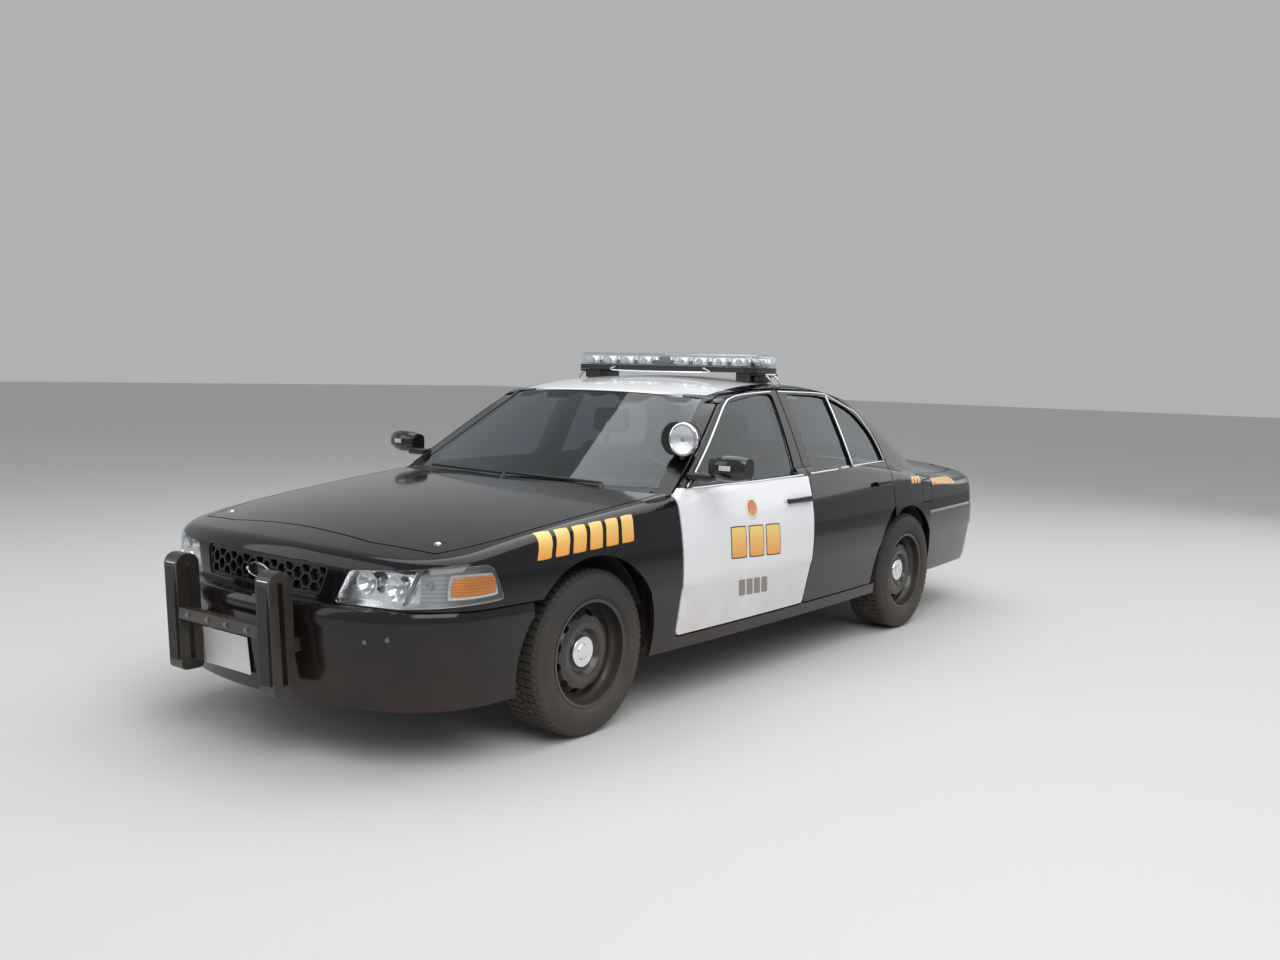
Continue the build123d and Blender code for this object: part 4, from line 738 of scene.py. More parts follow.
# wheels: chrome caps, brake discs, tyres with tread blocks
wheelSettings = {
    "centreX": {"front": 1.605, "rear": -1.307}, "discY": {"front": 0.851, "rear": 0.879}, "centreZ": 0.345,
    "midY": {"front": 0.805, "rear": 0.833}, "blocks": 64,
    "blockRows": (0.0, 0.036, -0.036, 0.070, -0.070), "blockSize": (0.0265, 0.0285, 0.0085),
    "blockSlant": 0.16,
    "blockRadius": 0.3403, "shoulderSize": (0.0235, 0.0215, 0.0080), "shoulderRadius": 0.3335,
    "shoulderAlong": 0.0945, "shoulderTilt": 0.52,
    "cap": ((-0.006, 0.0), (-0.006, 0.066), (0.004, 0.0665), (0.012, 0.0655), (0.0165, 0.0625),
            (0.0175, 0.058), (0.0160, 0.053), (0.0165, 0.034), (0.0200, 0.031), (0.0215, 0.020),
            (0.0225, 0.0)),
    "tyre": ((0.098, 0.2195), (0.106, 0.2275), (0.1125, 0.242), (0.1135, 0.2425), (0.1155, 0.256),
             (0.1162, 0.270), (0.1166, 0.278), (0.1150, 0.2795), (0.1142, 0.298), (0.1125, 0.3005),
             (0.1085, 0.318), (0.1010, 0.331), (0.0930, 0.3370), (0.0900, 0.3385), (0.0550, 0.3388),
             (0.0, 0.3390)),
    "tyreInside": ((0.0, 0.327), (0.088, 0.325), (0.100, 0.310), (0.105, 0.275), (0.102, 0.245),
                   (0.090, 0.2215)),
    "disc": ((-0.012, 0.032), (-0.012, 0.080), (-0.042, 0.083), (-0.044, 0.150), (-0.062, 0.150),
             (-0.062, 0.074), (-0.024, 0.071), (-0.024, 0.032)),
}


def treadBlock(size, slant=0.0):
    work = bmesh.new()
    bmesh.ops.create_cube(work, size=1.0)
    bmesh.ops.scale(work, vec=size, verts=work.verts)
    for vertex in work.verts:
        vertex.co.x += vertex.co.y * slant
    return workMesh(work)


def makeTyre(node, body, centre):
    s = wheelSettings
    outside = s["tyre"] + tuple((-along, radius) for along, radius in reversed(s["tyre"][:-1]))
    inside = tuple((-along, radius) for along, radius in reversed(s["tyreInside"][1:])) + s["tyreInside"]
    carcass = lathe(outside + inside, centre, (0, 1, 0), 96)
    block = treadBlock(s["blockSize"], s["blockSlant"])
    shoulderBlock = treadBlock(s["shoulderSize"])
    rows, shoulders = [], []
    for step in range(s["blocks"]):
        turn = 2 * pi * (step + 0.5) / s["blocks"]
        spoke = Vector((sin(turn), 0, cos(turn)))
        for row, along in enumerate(s["blockRows"]):
            ahead = turn + (pi / s["blocks"] if row % 2 else 0)
            out = Vector((sin(ahead), 0, cos(ahead)))
            rows.append((centre + out * s["blockRadius"] + Vector((0, along, 0)), (0, ahead, 0)))
        for hand in (1, -1):
            tilt = Matrix.Rotation(turn, 3, "Y") @ Matrix.Rotation(-hand * s["shoulderTilt"], 3, "X")
            place = centre + spoke * s["shoulderRadius"] + Vector((0, hand * s["shoulderAlong"], 0))
            shoulders.append((place, tuple(tilt.to_euler())))
    blocks = setOut(block, rows, "tyreRubber")
    edges = setOut(shoulderBlock, shoulders, "tyreRubber")
    mesh = joinMeshes([carcass, blocks, edges])
    addPiece(node + "Tread", mesh, finishes["tyreRubber"], body, (node,), 40.0)


def makeWheelTrim(place, side):
    s = wheelSettings
    sign = 1 if side == "left" else -1
    body = place + "_wheel_" + side
    face = Vector((s["centreX"][place], sign * s["discY"][place], s["centreZ"]))
    axis = (0, sign, 0)
    fit(body + "Cap", lathe(s["cap"], face, axis, 48), "chrome", body)
    fit(body + "Disc", lathe(s["disc"], face, axis, 64), "brakeSteel", body)
    centre = Vector((s["centreX"][place], sign * s["midY"][place], s["centreZ"]))
    makeTyre(place + "_tyre_" + side, body, centre)


for place in ("front", "rear"):
    for side, _ in bothSides:
        makeWheelTrim(place, side)
print("wheels and tyres made")


def fitBeads(name, paths, radius, finish, sides=8, spacing=0.02, body="body", angle=50.0):
    fit(name, beadMesh(paths, radius, finish, sides, spacing), finish, body, angle)


def fitSet(name, shape, places, finish, body="body", size=1.0):
    fit(name, setOut(shape, places, finish, size), finish, body)


def pin(profile, steps):
    # a turned shape at the origin, along z, to be set out
    return lathe(profile, (0, 0, 0), (0, 0, 1), steps)


def thickened(mesh, thickness):
    # gives an open skin its back and edges, inwards from its outer face
    carrier = bpy.data.objects.new("carrier", mesh)
    wall = carrier.modifiers.new("wall", "SOLIDIFY")
    wall.thickness = thickness
    wall.offset = -1.0
    scene.collection.objects.link(carrier)
    result = evaluatedMesh(carrier)
    bpy.data.objects.remove(carrier)
    bpy.data.meshes.remove(mesh)
    return result


# films on the painted skin, and other patches that follow a surface
def surfacePatch(tree, corners, side, lift, thickness, across=16, down=6, roundness=0.0):
    # corners are (x, z): top front, top rear, low rear, low front
    sign = 1 if side == "left" else -1
    work = bmesh.new()
    film = work.loops.layers.uv.new("filmMap")
    topFront, topRear, lowRear, lowFront = (Vector(corner) for corner in corners)
    grid = []
    for row in range(down + 1):
        line = []
        for column in range(across + 1):
            u, v = 2 * column / across - 1, 2 * row / down - 1
            u, v = u * sqrt(1 - roundness * v * v / 2), v * sqrt(1 - roundness * u * u / 2)
            u, v = (u + 1) / 2, (v + 1) / 2
            spot = topFront.lerp(topRear, u).lerp(lowFront.lerp(lowRear, u), v)
            place, normal = hitFrom(tree, (spot.x, sign * 1.3, spot.y), (0, -sign, 0))
            line.append(None if place is None else (work.verts.new(place + normal * lift), u, 1 - v))
        grid.append(line)
    for row in range(down):
        for column in range(across):
            four = [grid[row][column], grid[row][column + 1], grid[row + 1][column + 1],
                    grid[row + 1][column]]
            if None in four:
                continue
            if sign > 0:
                four.reverse()
            face = work.faces.new([corner[0] for corner in four])
            for loop, corner in zip(face.loops, four):
                loop[film].uv = corner[1:]
    work.normal_update()
    if sum(face.normal.y for face in work.faces) * sign < 0:
        bmesh.ops.reverse_faces(work, faces=work.faces)
    return thickened(workMesh(work), thickness)


# four corners, blocks, gap, finish, node, roundness, finish of the edge below
filmSettings = {
    "fender": (((1.905, 0.862), (1.358, 0.899), (1.369, 0.788), (1.937, 0.763)),
               6, 0.022, "goldFilm", "fenders", 0.12, None),
    "door": (((0.664, 0.783), (0.246, 0.766), (0.244, 0.623), (0.667, 0.643)),
             3, 0.030, "goldFilm", "front_door_", 0.12, "darkFilm"),
    "doorSmall": (((0.591, 0.529), (0.342, 0.518), (0.318, 0.439), (0.568, 0.448)),
                  4, 0.014, "greyFilm", "front_door_", 0.12, None),
    "crest": (((0.526, 0.920), (0.414, 0.917), (0.414, 0.805), (0.526, 0.808)),
              1, 0.0, "paleFilm", "front_door_", 1.0, None),
    "crestMiddle": (((0.508, 0.900), (0.432, 0.898), (0.432, 0.824), (0.508, 0.826)),
                    1, 0.0, "redFilm", "front_door_", 1.0, None),
    "rearQuarterFront": (((-1.385, 0.908), (-1.515, 0.904), (-1.515, 0.862), (-1.375, 0.866)),
                         3, 0.010, "goldFilm", "body_side_", 0.12, None),
    "rearQuarterRear": (((-1.705, 0.880), (-2.110, 0.863), (-2.110, 0.822), (-1.705, 0.838)),
                        8, 0.010, "goldFilm", "body_side_", 0.12, None),
}


def splitCorners(corners, blocks, gap, margin=0.0):
    topFront, topRear, lowRear, lowFront = (Vector(corner) for corner in corners)
    length = (topRear - topFront).length
    width = (length - gap * (blocks - 1)) / blocks
    for block in range(blocks):
        start = (block * (width + gap) - margin) / length
        end = (block * (width + gap) + width + margin) / length
        rise = Vector((0, margin))
        yield (topFront.lerp(topRear, start) + rise, topFront.lerp(topRear, end) + rise,
               lowFront.lerp(lowRear, end) - rise, lowFront.lerp(lowRear, start) - rise)


def makeFilms():
    for label, (corners, blocks, gap, finish, host, roundness, edge) in filmSettings.items():
        for side, _ in bothSides:
            node = host + (side if host.endswith("_") else "")
            tree = treeOf(node)
            body = nodes[node]["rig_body"]
            if edge:
                meshes = [surfacePatch(tree, four, side, 0.0008, 0.0006, 10, 12, roundness)
                          for four in splitCorners(corners, blocks, gap, 0.006)]
                addPiece(label + "Edge" + side.title(), joinMeshes(meshes), finishes[edge], body)
            lift = 0.0016 if edge or label == "crestMiddle" else 0.0010
            meshes = [surfacePatch(tree, four, side, lift, 0.0008, 14, 18, roundness)
                      for four in splitCorners(corners, blocks, gap)]
            addPiece(label + "Film" + side.title(), joinMeshes(meshes), finishes[finish], body)


makeFilms()
print("films laid on the skin")


# lamps: clear shells over reflectors, from the CAD lamps' own faces
def pickFaces(node, test, cuts=()):
    work = workFrom(nodes[node].data, cuts)
    work.normal_update()
    drop = [face for face in work.faces if not test(face.calc_center_median(), face.normal)]
    bmesh.ops.delete(work, geom=drop, context="FACES")
    return workMesh(work)


def facesOut(place, normal):
    return normal.x + normal.y * (1 if place.y > 0 else -1) > 0.5


lampSettings = {
    "beams": ((2.484, 0.552, 0.700), (2.453, 0.674, 0.690)), "turnBulb": (2.382, 0.791, 0.706),
    "splitY": 0.722, "bowl": ((-0.040, 0.0), (-0.040, 0.010), (-0.034, 0.023), (-0.022, 0.034),
                              (-0.008, 0.044), (0.0, 0.0475), (0.0, 0.049), (-0.009, 0.0465),
                              (-0.024, 0.036), (-0.037, 0.024), (-0.0425, 0.010), (-0.0425, 0.0)),
    "bulb": ((-0.040, 0.0), (-0.040, 0.008), (-0.018, 0.008), (-0.012, 0.006), (-0.010, 0.0)),
    "amber": ((2.316, 0.738), (2.149, 0.735), (2.141, 0.668), (2.330, 0.660)),
    "amberFrame": ((2.326, 0.747), (2.140, 0.744), (2.130, 0.659), (2.341, 0.650)),
    "divider": ((2.398, 0.740, 0.756), (2.438, 0.701, 0.630)),
}


def makeHeadlamps():
    s = lampSettings
    lens = thickened(pickFaces("headlamps", facesOut), 0.0028)
    addPiece("headlampLens", lens, finishes["clearLens"], "body", ("headlamps",), 40.0)
    inner = pickFaces("headlamps", lambda place, normal: not facesOut(place, normal),
                      [((0, s["splitY"], 0), (0, 1, 0)), ((0, -s["splitY"], 0), (0, 1, 0))])
    shell = thickened(inner, 0.0015)
    for polygon in shell.polygons:
        polygon.material_index = 0 if abs(polygon.center.y) < s["splitY"] else 1
    addPiece("headlampHousing", shell, [finishes["reflector"], finishes["frostLens"]], "body", (), 30.0)
    bowls, bulbs, amber, frames, walls = [], [], [], [], []
    tree = treeOf("headlamps")
    for side, sign in bothSides:
        for place in s["beams"]:
            axis = Vector((1, 0.14 * sign, 0)).normalized()
            centre = Vector((place[0], place[1] * sign, place[2])) - axis * 0.0125
            bowls.append(lathe(s["bowl"], centre, axis, 14))
            bulbs.append(lathe(s["bulb"], centre, axis, 16))
        x, y, z = s["turnBulb"]
        axis = Vector((0.72, 0.69 * sign, 0))
        centre = Vector((x, y * sign, z)) - axis * 0.012
        bowls.append(lathe([(a * 0.45, r * 0.42) for a, r in s["bowl"]], centre, axis, 20))
        bulbs.append(lathe([(a * 0.5, r * 0.8) for a, r in s["bulb"]], centre, axis, 16))
        amber.append(surfacePatch(tree, s["amber"], side, -0.007, 0.004, 24, 10, 0.22))
        frames.append(surfacePatch(tree, s["amberFrame"], side, -0.012, 0.003, 24, 10, 0.22))
        (x1, y1, z1), (x2, y2, z2) = s["divider"]
        wall = meshFrom([(x1, y1 * sign, z1), (x2, y2 * sign, z2), (x2 - 0.03, y2 * sign, z2),
                         (x1 - 0.03, y1 * sign, z1)], [(0, 1, 2, 3) if sign < 0 else (3, 2, 1, 0)])
        walls.append(thickened(wall, 0.002))
    fit("headlampBowls", joinMeshes(bowls), "reflector", angle=8.0)
    fit("headlampBulbs", joinMeshes(bulbs), "whiteLens", angle=40.0)
    fit("amberReflectors", joinMeshes(amber), "amberLens")
    fit("amberFrames", joinMeshes(frames), "reflector")
    fit("lampDividers", joinMeshes(walls), "reflector")


def makeTailLamps():
    # red lenses with a clear reversing lamp low at their inner end
    def choose(place, normal):
        return 1 if 0.60 < abs(place.y) < 0.72 and 0.742 < place.z < 0.788 else 0
    cuts = [((0, y, 0), (0, 1, 0)) for y in (-0.72, -0.60, 0.60, 0.72)]
    cuts += [((0, 0, z), (0, 0, 1)) for z in (0.742, 0.788)]
    smoothCopy("tail_lamps", [finishes["redLens"], finishes["whiteLens"]], choose, cuts, 40.0)


makeHeadlamps()
makeTailLamps()
print("lamps made")


# light bar: clear dome, silver modules, black base and roof hooks
barSettings = {
    "split": 1.531, "front": -0.088, "rear": -0.284, "low": 1.533, "count": 9, "span": 1.01, "endX": -0.186,
    "endY": 0.556,
    # each block is its low and high corner, its edge radius and the steps of that edge
    "module": (((-0.018, -0.052, 0), (0.018, 0.052, 0.048), 0.006, 2),
               ((0.017, -0.046, 0.005), (0.0225, 0.046, 0.043), 0.005, 2)),
    "spine": (((-0.235, -0.50, 1.533), (-0.137, 0.50, 1.563), 0.006, 2),
              ((-0.11, -0.03, 1.533), (-0.075, 0.03, 1.585), 0.01, 3),
              ((-0.30, -0.03, 1.533), (-0.262, 0.03, 1.585), 0.01, 3)),
    "hooks": (((-0.27, 0.50, 1.490), (-0.10, 0.625, 1.502), 0.003, 2),
              ((-0.25, 0.560, 1.455), (-0.12, 0.60, 1.492), 0.006, 3)),
    "lamp": ((0.0, 0.0), (0.0, 0.014), (0.006, 0.018), (0.007, 0.018), (0.007, 0.0)),
    "strap": ((0.600, 1.494), (0.634, 1.486), (0.654, 1.468), (0.668, 1.446)), "strapX": (-0.225, -0.145),
    "cradle": ((-0.030, -0.30, 1.522), (-0.034, -0.30, 1.500), (-0.034, 0.30, 1.500), (-0.030, 0.30,
                                                                                       1.522)),
}


def makeLightbar():
    s = barSettings
    cut = [((0, 0, s["split"]), (0, 0, 1))]
    dome = pickFaces("lightbar", lambda place, normal: place.z > s["split"], cut)
    addPiece("lightbarDome", thickened(dome, 0.003), finishes["barPlastic"], "body", ("lightbar",), 40.0)
    work = workFrom(nodes["lightbar"].data)
    made = bmesh.ops.bisect_plane(work, geom=list(work.verts) + list(work.edges) + list(work.faces),
                                  dist=cutDistance, plane_co=(0, 0, s["split"]), plane_no=(0, 0, 1),
                                  clear_outer=True)
    rim = [item for item in made["geom_cut"] if isinstance(item, bmesh.types.BMEdge)]
    bmesh.ops.contextual_create(work, geom=rim)
    fit("lightbarBase", workMesh(work), "blackPlastic")
    places = []
    for index in range(s["count"]):
        y = (index / (s["count"] - 1) - 0.5) * s["span"]
        if index != s["count"] // 2:
            places.append(((s["front"], y, s["low"]), (0, 0, 0)))
            places.append(((s["rear"], y, s["low"]), (0, 0, pi)))
    for sign in (1, -1):
        places.append(((s["endX"], sign * s["endY"], s["low"]), (0, 0, sign * pi / 2)))
    fitSet("lightbarModules", joinBlocks(s["module"]), places, "reflector")
    fitSet("lightbarLamps", lathe(s["lamp"], (0.0225, 0, 0.024), (1, 0, 0), 16), places, "whiteLens")
    fit("lightbarSpine", joinBlocks(s["spine"]), "trimPlastic")
    hooks, straps = [], []
    for sign in (1, -1):
        for (x0, y0, z0), (x1, y1, z1), radius, steps in s["hooks"]:
            low, high = sorted((sign * y0, sign * y1))
            hooks.append(((x0, low, z0), (x1, high, z1), radius, steps))
        straps += [smoothPath([(x, sign * y, z) for y, z in s["strap"]], 6) for x in s["strapX"]]
        straps.append([Vector((x, sign * 0.628, 1.496)) for x in (-0.235, -0.135)])
    fit("lightbarHooks", joinBlocks(hooks), "blackPlastic")
    fitBeads("lightbarStraps", straps + [smoothPath(s["cradle"], 6)], 0.0042, "chrome", spacing=0.01,
             angle=40.0)


makeLightbar()
print("light bar made")


# chrome lines round the side windows and along the belt
trimSettings = {
    "frontTop": ((0.928, 0.984), (0.700, 1.140), (0.530, 1.262), (0.398, 1.352), (0.320, 1.378),
                 (0.236, 1.391), (0.080, 1.402), (-0.060, 1.408)),
    "rearTop": ((-0.078, 1.409), (-0.270, 1.407), (-0.486, 1.403), (-0.600, 1.398), (-0.696, 1.387),
                (-0.785, 1.366), (-0.857, 1.336), (-0.930, 1.288), (-0.974, 1.246), (-1.020, 1.182),
                (-1.045, 1.130), (-1.068, 1.060), (-1.076, 1.022)),
    "frontBelt": ((0.950, 0.977), (0.440, 0.981), (-0.060, 0.989)),
    "rearBelt": ((-0.078, 0.990), (-0.407, 0.998), (-0.760, 1.004), (-1.080, 1.010)),
    "division": ((-0.648, 1.384), (-0.662, 1.012)), "radius": 0.0048, "lift": 0.0012,
    "lines": {"front": ("frontTop", "frontBelt"), "rear": ("rearTop", "rearBelt", "division")},
}


def tracedPath(tree, points, side, lift):
    sign = 1 if side == "left" else -1
    path = []
    for spot in smoothPath([(x, 0, z) for x, z in points], 8):
        place, normal = hitFrom(tree, (spot.x, sign * 1.3, spot.z), (0, -sign, 0))
        if place is not None and abs(place.y) > 0.62:
            path.append(place + normal * lift)
    return path


for side, _ in bothSides:
    for place, lines in trimSettings["lines"].items():
        node = place + "_door_" + side
        tree = treeOf(node, place + "_glass_" + side)
        paths = [tracedPath(tree, trimSettings[label], side, trimSettings["lift"]) for label in lines]
        fitBeads(place + "Chrome" + side.title(), paths, trimSettings["radius"], "chrome", spacing=0.018,
                 body=nodes[node]["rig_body"])
print("window chrome made")


# mirrors, spotlight, badge, plates, push bumper
mirrorSettings = {
    "glassLow": (0.7955, 0.985, 1.034), "glassHigh": (0.7985, 1.150, 1.112), "rimX": 0.799,
    "rimRadius": 0.0028,
    "rim": ((0.982, 1.045), (0.982, 1.102), (0.992, 1.114), (1.142, 1.114), (1.153, 1.104), (1.153, 1.046),
            (1.143, 1.032), (0.994, 1.032), (0.982, 1.045)),
    "lampCorner": (1.045, 1.070), "lampSize": (0.056, 0.022), "columns": 8, "rows": 3, "lift": 0.0022,
    "thickness": 0.0018,
}


def makeMirrorGlass(side, sign):
    s = mirrorSettings
    (x0, y0, z0), (x1, y1, z1) = s["glassLow"], s["glassHigh"]
    low, high = sorted((y0 * sign, y1 * sign))
    glass = roundedBlock((x0, low, z0), (x1, high, z1), 0.0014, 2)
    body = "front_door_" + side
    fit("mirrorGlass" + side.title(), glass, "mirrorGlass", body)
    rim = [Vector((s["rimX"], y * sign, z)) for y, z in s["rim"]]
    fitBeads("mirrorRim" + side.title(), [rim], s["rimRadius"], "blackPlastic", body=body)
    tree = treeOf("mirror_" + side)
    work = bmesh.new()
    (y, z), (width, height) = s["lampCorner"], s["lampSize"]
    grid = []
    for row in range(s["rows"] + 1):
        spots = [(1.3, sign * (y + width * column / s["columns"]), z + height * row / s["rows"])
                 for column in range(s["columns"] + 1)]
        places = [hitFrom(tree, spot, (-1, 0, 0)) for spot in spots]
        grid.append([work.verts.new(place + normal * s["lift"]) for place, normal in places])
    sheetFaces(work, grid, sign < 0)
    fit("mirrorLamp" + side.title(), thickened(workMesh(work), s["thickness"]), "whiteLens", body)


spotSettings = {
    "centre": (0.872, 0.822, 1.194),
    "parts": (("ring", "chrome", 64), ("bowl", "reflector", 48), ("lens", "clearLens", 64),
              ("bulb", "whiteLens", 24)),
    "seam": ((-0.030, 0.0770), (-0.030, 0.0795), (-0.024, 0.0795), (-0.024, 0.0770)),
    "ring": ((-0.006, 0.066), (-0.006, 0.0775), (0.003, 0.0785), (0.007, 0.076), (0.008, 0.070),
             (0.005, 0.066)),
    "bowl": ((0.0008, 0.0), (0.0008, 0.067), (0.006, 0.067), (0.0045, 0.045), (0.0025, 0.020),
             (0.0018, 0.0)),
    "lens": ((0.0085, 0.0), (0.0080, 0.030), (0.0065, 0.052), (0.0050, 0.067), (0.0070, 0.068),
             (0.0090, 0.052), (0.0108, 0.030), (0.0114, 0.0)),
    "bulb": ((0.002, 0.0), (0.002, 0.013), (0.006, 0.012), (0.0072, 0.006), (0.0074, 0.0)),
}


def makeSpotlight():
    s = spotSettings
    for label, finish, steps in s["parts"]:
        fit("spot" + label.title(), lathe(s[label], s["centre"], (1, 0, 0), steps), finish)
    fit("spotSeam", lathe(s["seam"], s["centre"], (1, 0, 0), 64), "blackRubber")


def makeBadge():
    # bare oval badge: black face in a silver ring
    for label, finish, profile in (
            ("badgeRing", "chrome", ((0.000, 1.00), (0.006, 1.00), (0.008, 0.955), (0.008, 0.86),
                                     (0.0055, 0.80), (0.000, 0.80))),
            ("badgeFace", "glossPlastic", ((0.000, 0.0), (0.000, 0.81), (0.0045, 0.80), (0.006, 0.6),
                                           (0.0068, 0.0)))):
        mesh = lathe(profile, (0, 0, 0), (1, 0, 0), 64)
        for vertex in mesh.vertices:
            vertex.co = Vector((vertex.co.x + 2.546, vertex.co.y * 0.076, vertex.co.z * 0.031 + 0.690))
        fit(label, mesh, finish)


plateSettings = {
    "half": 0.152, "height": 0.152, "rim": 0.007, "lip": (0.0015, 0.0009), "corner": (0.0008, 2),
    # low corner of the plain shape, its thickness, the point it turns about, where that goes, its lean
    "front": ((2.6100, 0.345), 0.0018, (2.611, 0.421), (2.6165, -0.114, 0.365), 0.12),
    "rear": ((-2.6905, 0.735), 0.0017, (-2.6896, 0.811), (-2.668, 0, 0.811), 0.135),
    "bolt": ((0.0, 0.0), (0.0, 0.006), (0.003, 0.006), (0.0045, 0.003), (0.0048, 0.0)),
}


def makePlate(low, thickness, pivot, place, lean):
    s = plateSettings
    mesh = roundedBlock((low[0], -s["half"], low[1]), (low[0] + thickness, s["half"], low[1] + s["height"]),
                        *s["corner"])
    work = bmesh.new()
    work.from_mesh(mesh)
    faces = [face for face in work.faces if abs(face.normal.x) > 0.9 and face.calc_area() > 0.01]
    bmesh.ops.inset_region(work, faces=faces, thickness=s["rim"], depth=0.0)
    bmesh.ops.inset_region(work, faces=faces, thickness=s["lip"][0], depth=s["lip"][1])
    work.to_mesh(mesh)
    work.free()
    back = Matrix.Translation((-pivot[0], 0, -pivot[1]))
    mesh.transform(Matrix.Translation(place) @ Matrix.Rotation(lean, 4, "Y") @ back)
    return mesh


def makePlates():
    s = plateSettings
    fit("frontPlate", makePlate(*s["front"]), "plateWhite", angle=25.0)
    fit("rearPlate", makePlate(*s["rear"]), "plateWhite", "trunk_lid", 25.0)
    places = [((-2.670, y, 0.870), (0, -pi / 2, 0)) for y in (-0.09, 0.09)]
    fitSet("rearPlateBolts", pin(s["bolt"], 12), places, "chrome", "trunk_lid")


pushSettings = {
    "upright": (0.2625, 0.3325), "from": 3.1, "stripLow": 0.318, "stripHigh": 0.688, "steps": 24,
    "inset": 0.006,
    "stand": 0.0075, "thickness": 0.0085, "edgeHeight": 0.705, "edgeInset": 0.004, "edgeStand": 0.002,
    "edgeRadius": 0.004, "frontBolts": ((-0.19, 0.51), (-0.06, 0.51), (0.06, 0.51), (0.19, 0.51)),
    "bumperBolts": ((0.601, 0.496), (0.684, 0.511), (-0.601, 0.496), (-0.684, 0.511)),
    "studs": ((2.225, -0.66), (2.225, 0.66)), "washer": ((0.0, 0.0), (0.0, 0.012), (0.002, 0.012),
                                                         (0.002, 0.0)),
    "head": ((0.002, 0.0), (0.002, 0.0085), (0.0085, 0.0085), (0.0095, 0.007), (0.0095, 0.0)),
    "stud": ((-0.001, 0.0), (-0.001, 0.014), (0.003, 0.013), (0.006, 0.009), (0.0075, 0.0)),
}


def makePushBumper():
    # rubber strips and bright top edges on the uprights, bolts on the crossbar and bumper, hood studs;
    # nothing stands further forward than the CAD box
    s = pushSettings
    strips, edges, bolts = [], [], []
    tree = treeOf("push_bumper")
    for sign in (1, -1):
        y0, y1 = sorted(sign * y for y in s["upright"])
        work = bmesh.new()
        rows = []
        for step in range(s["steps"] + 1):
            z = s["stripLow"] + (s["stripHigh"] - s["stripLow"]) * step / s["steps"]
            places = [hitFrom(tree, (s["from"], y, z), (-1, 0, 0))[0]
                      for y in (y0 + s["inset"], (y0 + y1) / 2, y1 - s["inset"])]
            if None not in places:
                rows.append([work.verts.new((min(place.x + s["stand"], cadBox[1][0] - 0.0003), place.y,
                                             place.z))
                             for place in places])
        sheetFaces(work, rows, False)
        strips.append(thickened(workMesh(work), s["thickness"]))
        place, _ = hitFrom(tree, (s["from"], (y0 + y1) / 2, s["edgeHeight"]), (-1, 0, 0))
        if place is not None:
            x = min(place.x + s["edgeStand"], cadBox[1][0] - 0.0042)
            edges.append([Vector((x, y, s["edgeHeight"])) for y in (y0 + s["edgeInset"],
                                                                    y1 - s["edgeInset"])])
    fit("pushStrips", joinMeshes(strips), "blackRubber", angle=40.0)
    if edges:
        fitBeads("pushEdges", edges, s["edgeRadius"], "chrome", spacing=0.01)
    for surface, spots in ((tree, s["frontBolts"]), (treeOf("front_bumper"), s["bumperBolts"])):
        for y, z in spots:
            place, _ = hitFrom(surface, (s["from"], y, z), (-1, 0, 0))
            if place is not None:
                bolts.append((place, (0, pi / 2, 0)))
    bolt = joinMeshes([pin(s["washer"], 20), pin(s["head"], 6)])
    fitSet("pushBolts", bolt, bolts, "brakeSteel", size=0.9)
    hood = treeOf("hood", "nose_panel")
    studs = []
    for x, y in s["studs"]:
        place, normal = hitFrom(hood, (x, y, 1.3), (0, 0, -1))
        if place is not None:
            studs.append((place, tuple(normal.to_track_quat("Z", "Y").to_euler())))
    fitSet("hoodStuds", pin(s["stud"], 24), studs, "chrome", "hood")


for side, sign in bothSides:
    makeMirrorGlass(side, sign)
makeSpotlight()
makeBadge()
makePlates()
makePushBumper()
print("fittings made")


# cabin: instruments, vents and radio
cabinSettings = {
    "cluster": (((0.674, 0.235, 0.868), (0.684, 0.510, 0.945), 0.004, 2),),
    "dial": ((0.0, 0.026), (0.0, 0.030), (0.005, 0.030), (0.005, 0.027)), "dialX": 0.673, "dialZ": 0.907,
    "dialY": (0.275, 0.340, 0.405, 0.470),
    "blade": (((-0.004, -0.050, -0.0012), (0.006, 0.050, 0.0012), 0.0008, 1),), "ventY": (-0.62, -0.17,
                                                                                          0.13, 0.62),
    "blades": 5, "bladeX": 0.694, "bladeZ": 0.832, "bladeStep": 0.010, "bladeTilt": 0.4,
    "rimCentre": (0.696, 0.852),
    "rim": ((-0.056, -0.027), (-0.056, 0.027), (0.056, 0.027), (0.056, -0.027), (-0.056, -0.027)),
    "radio": (((0.684, -0.090, 0.735), (0.699, 0.090, 0.790), 0.004, 2),
              ((0.684, -0.090, 0.672), (0.699, 0.090, 0.728), 0.004, 2)),
    "knob": ((0.0, 0.0), (0.0, 0.011), (0.012, 0.010), (0.014, 0.008), (0.014, 0.0)),
    "knobY": (-0.072, 0.072), "knobZ": (0.762, 0.700),
}


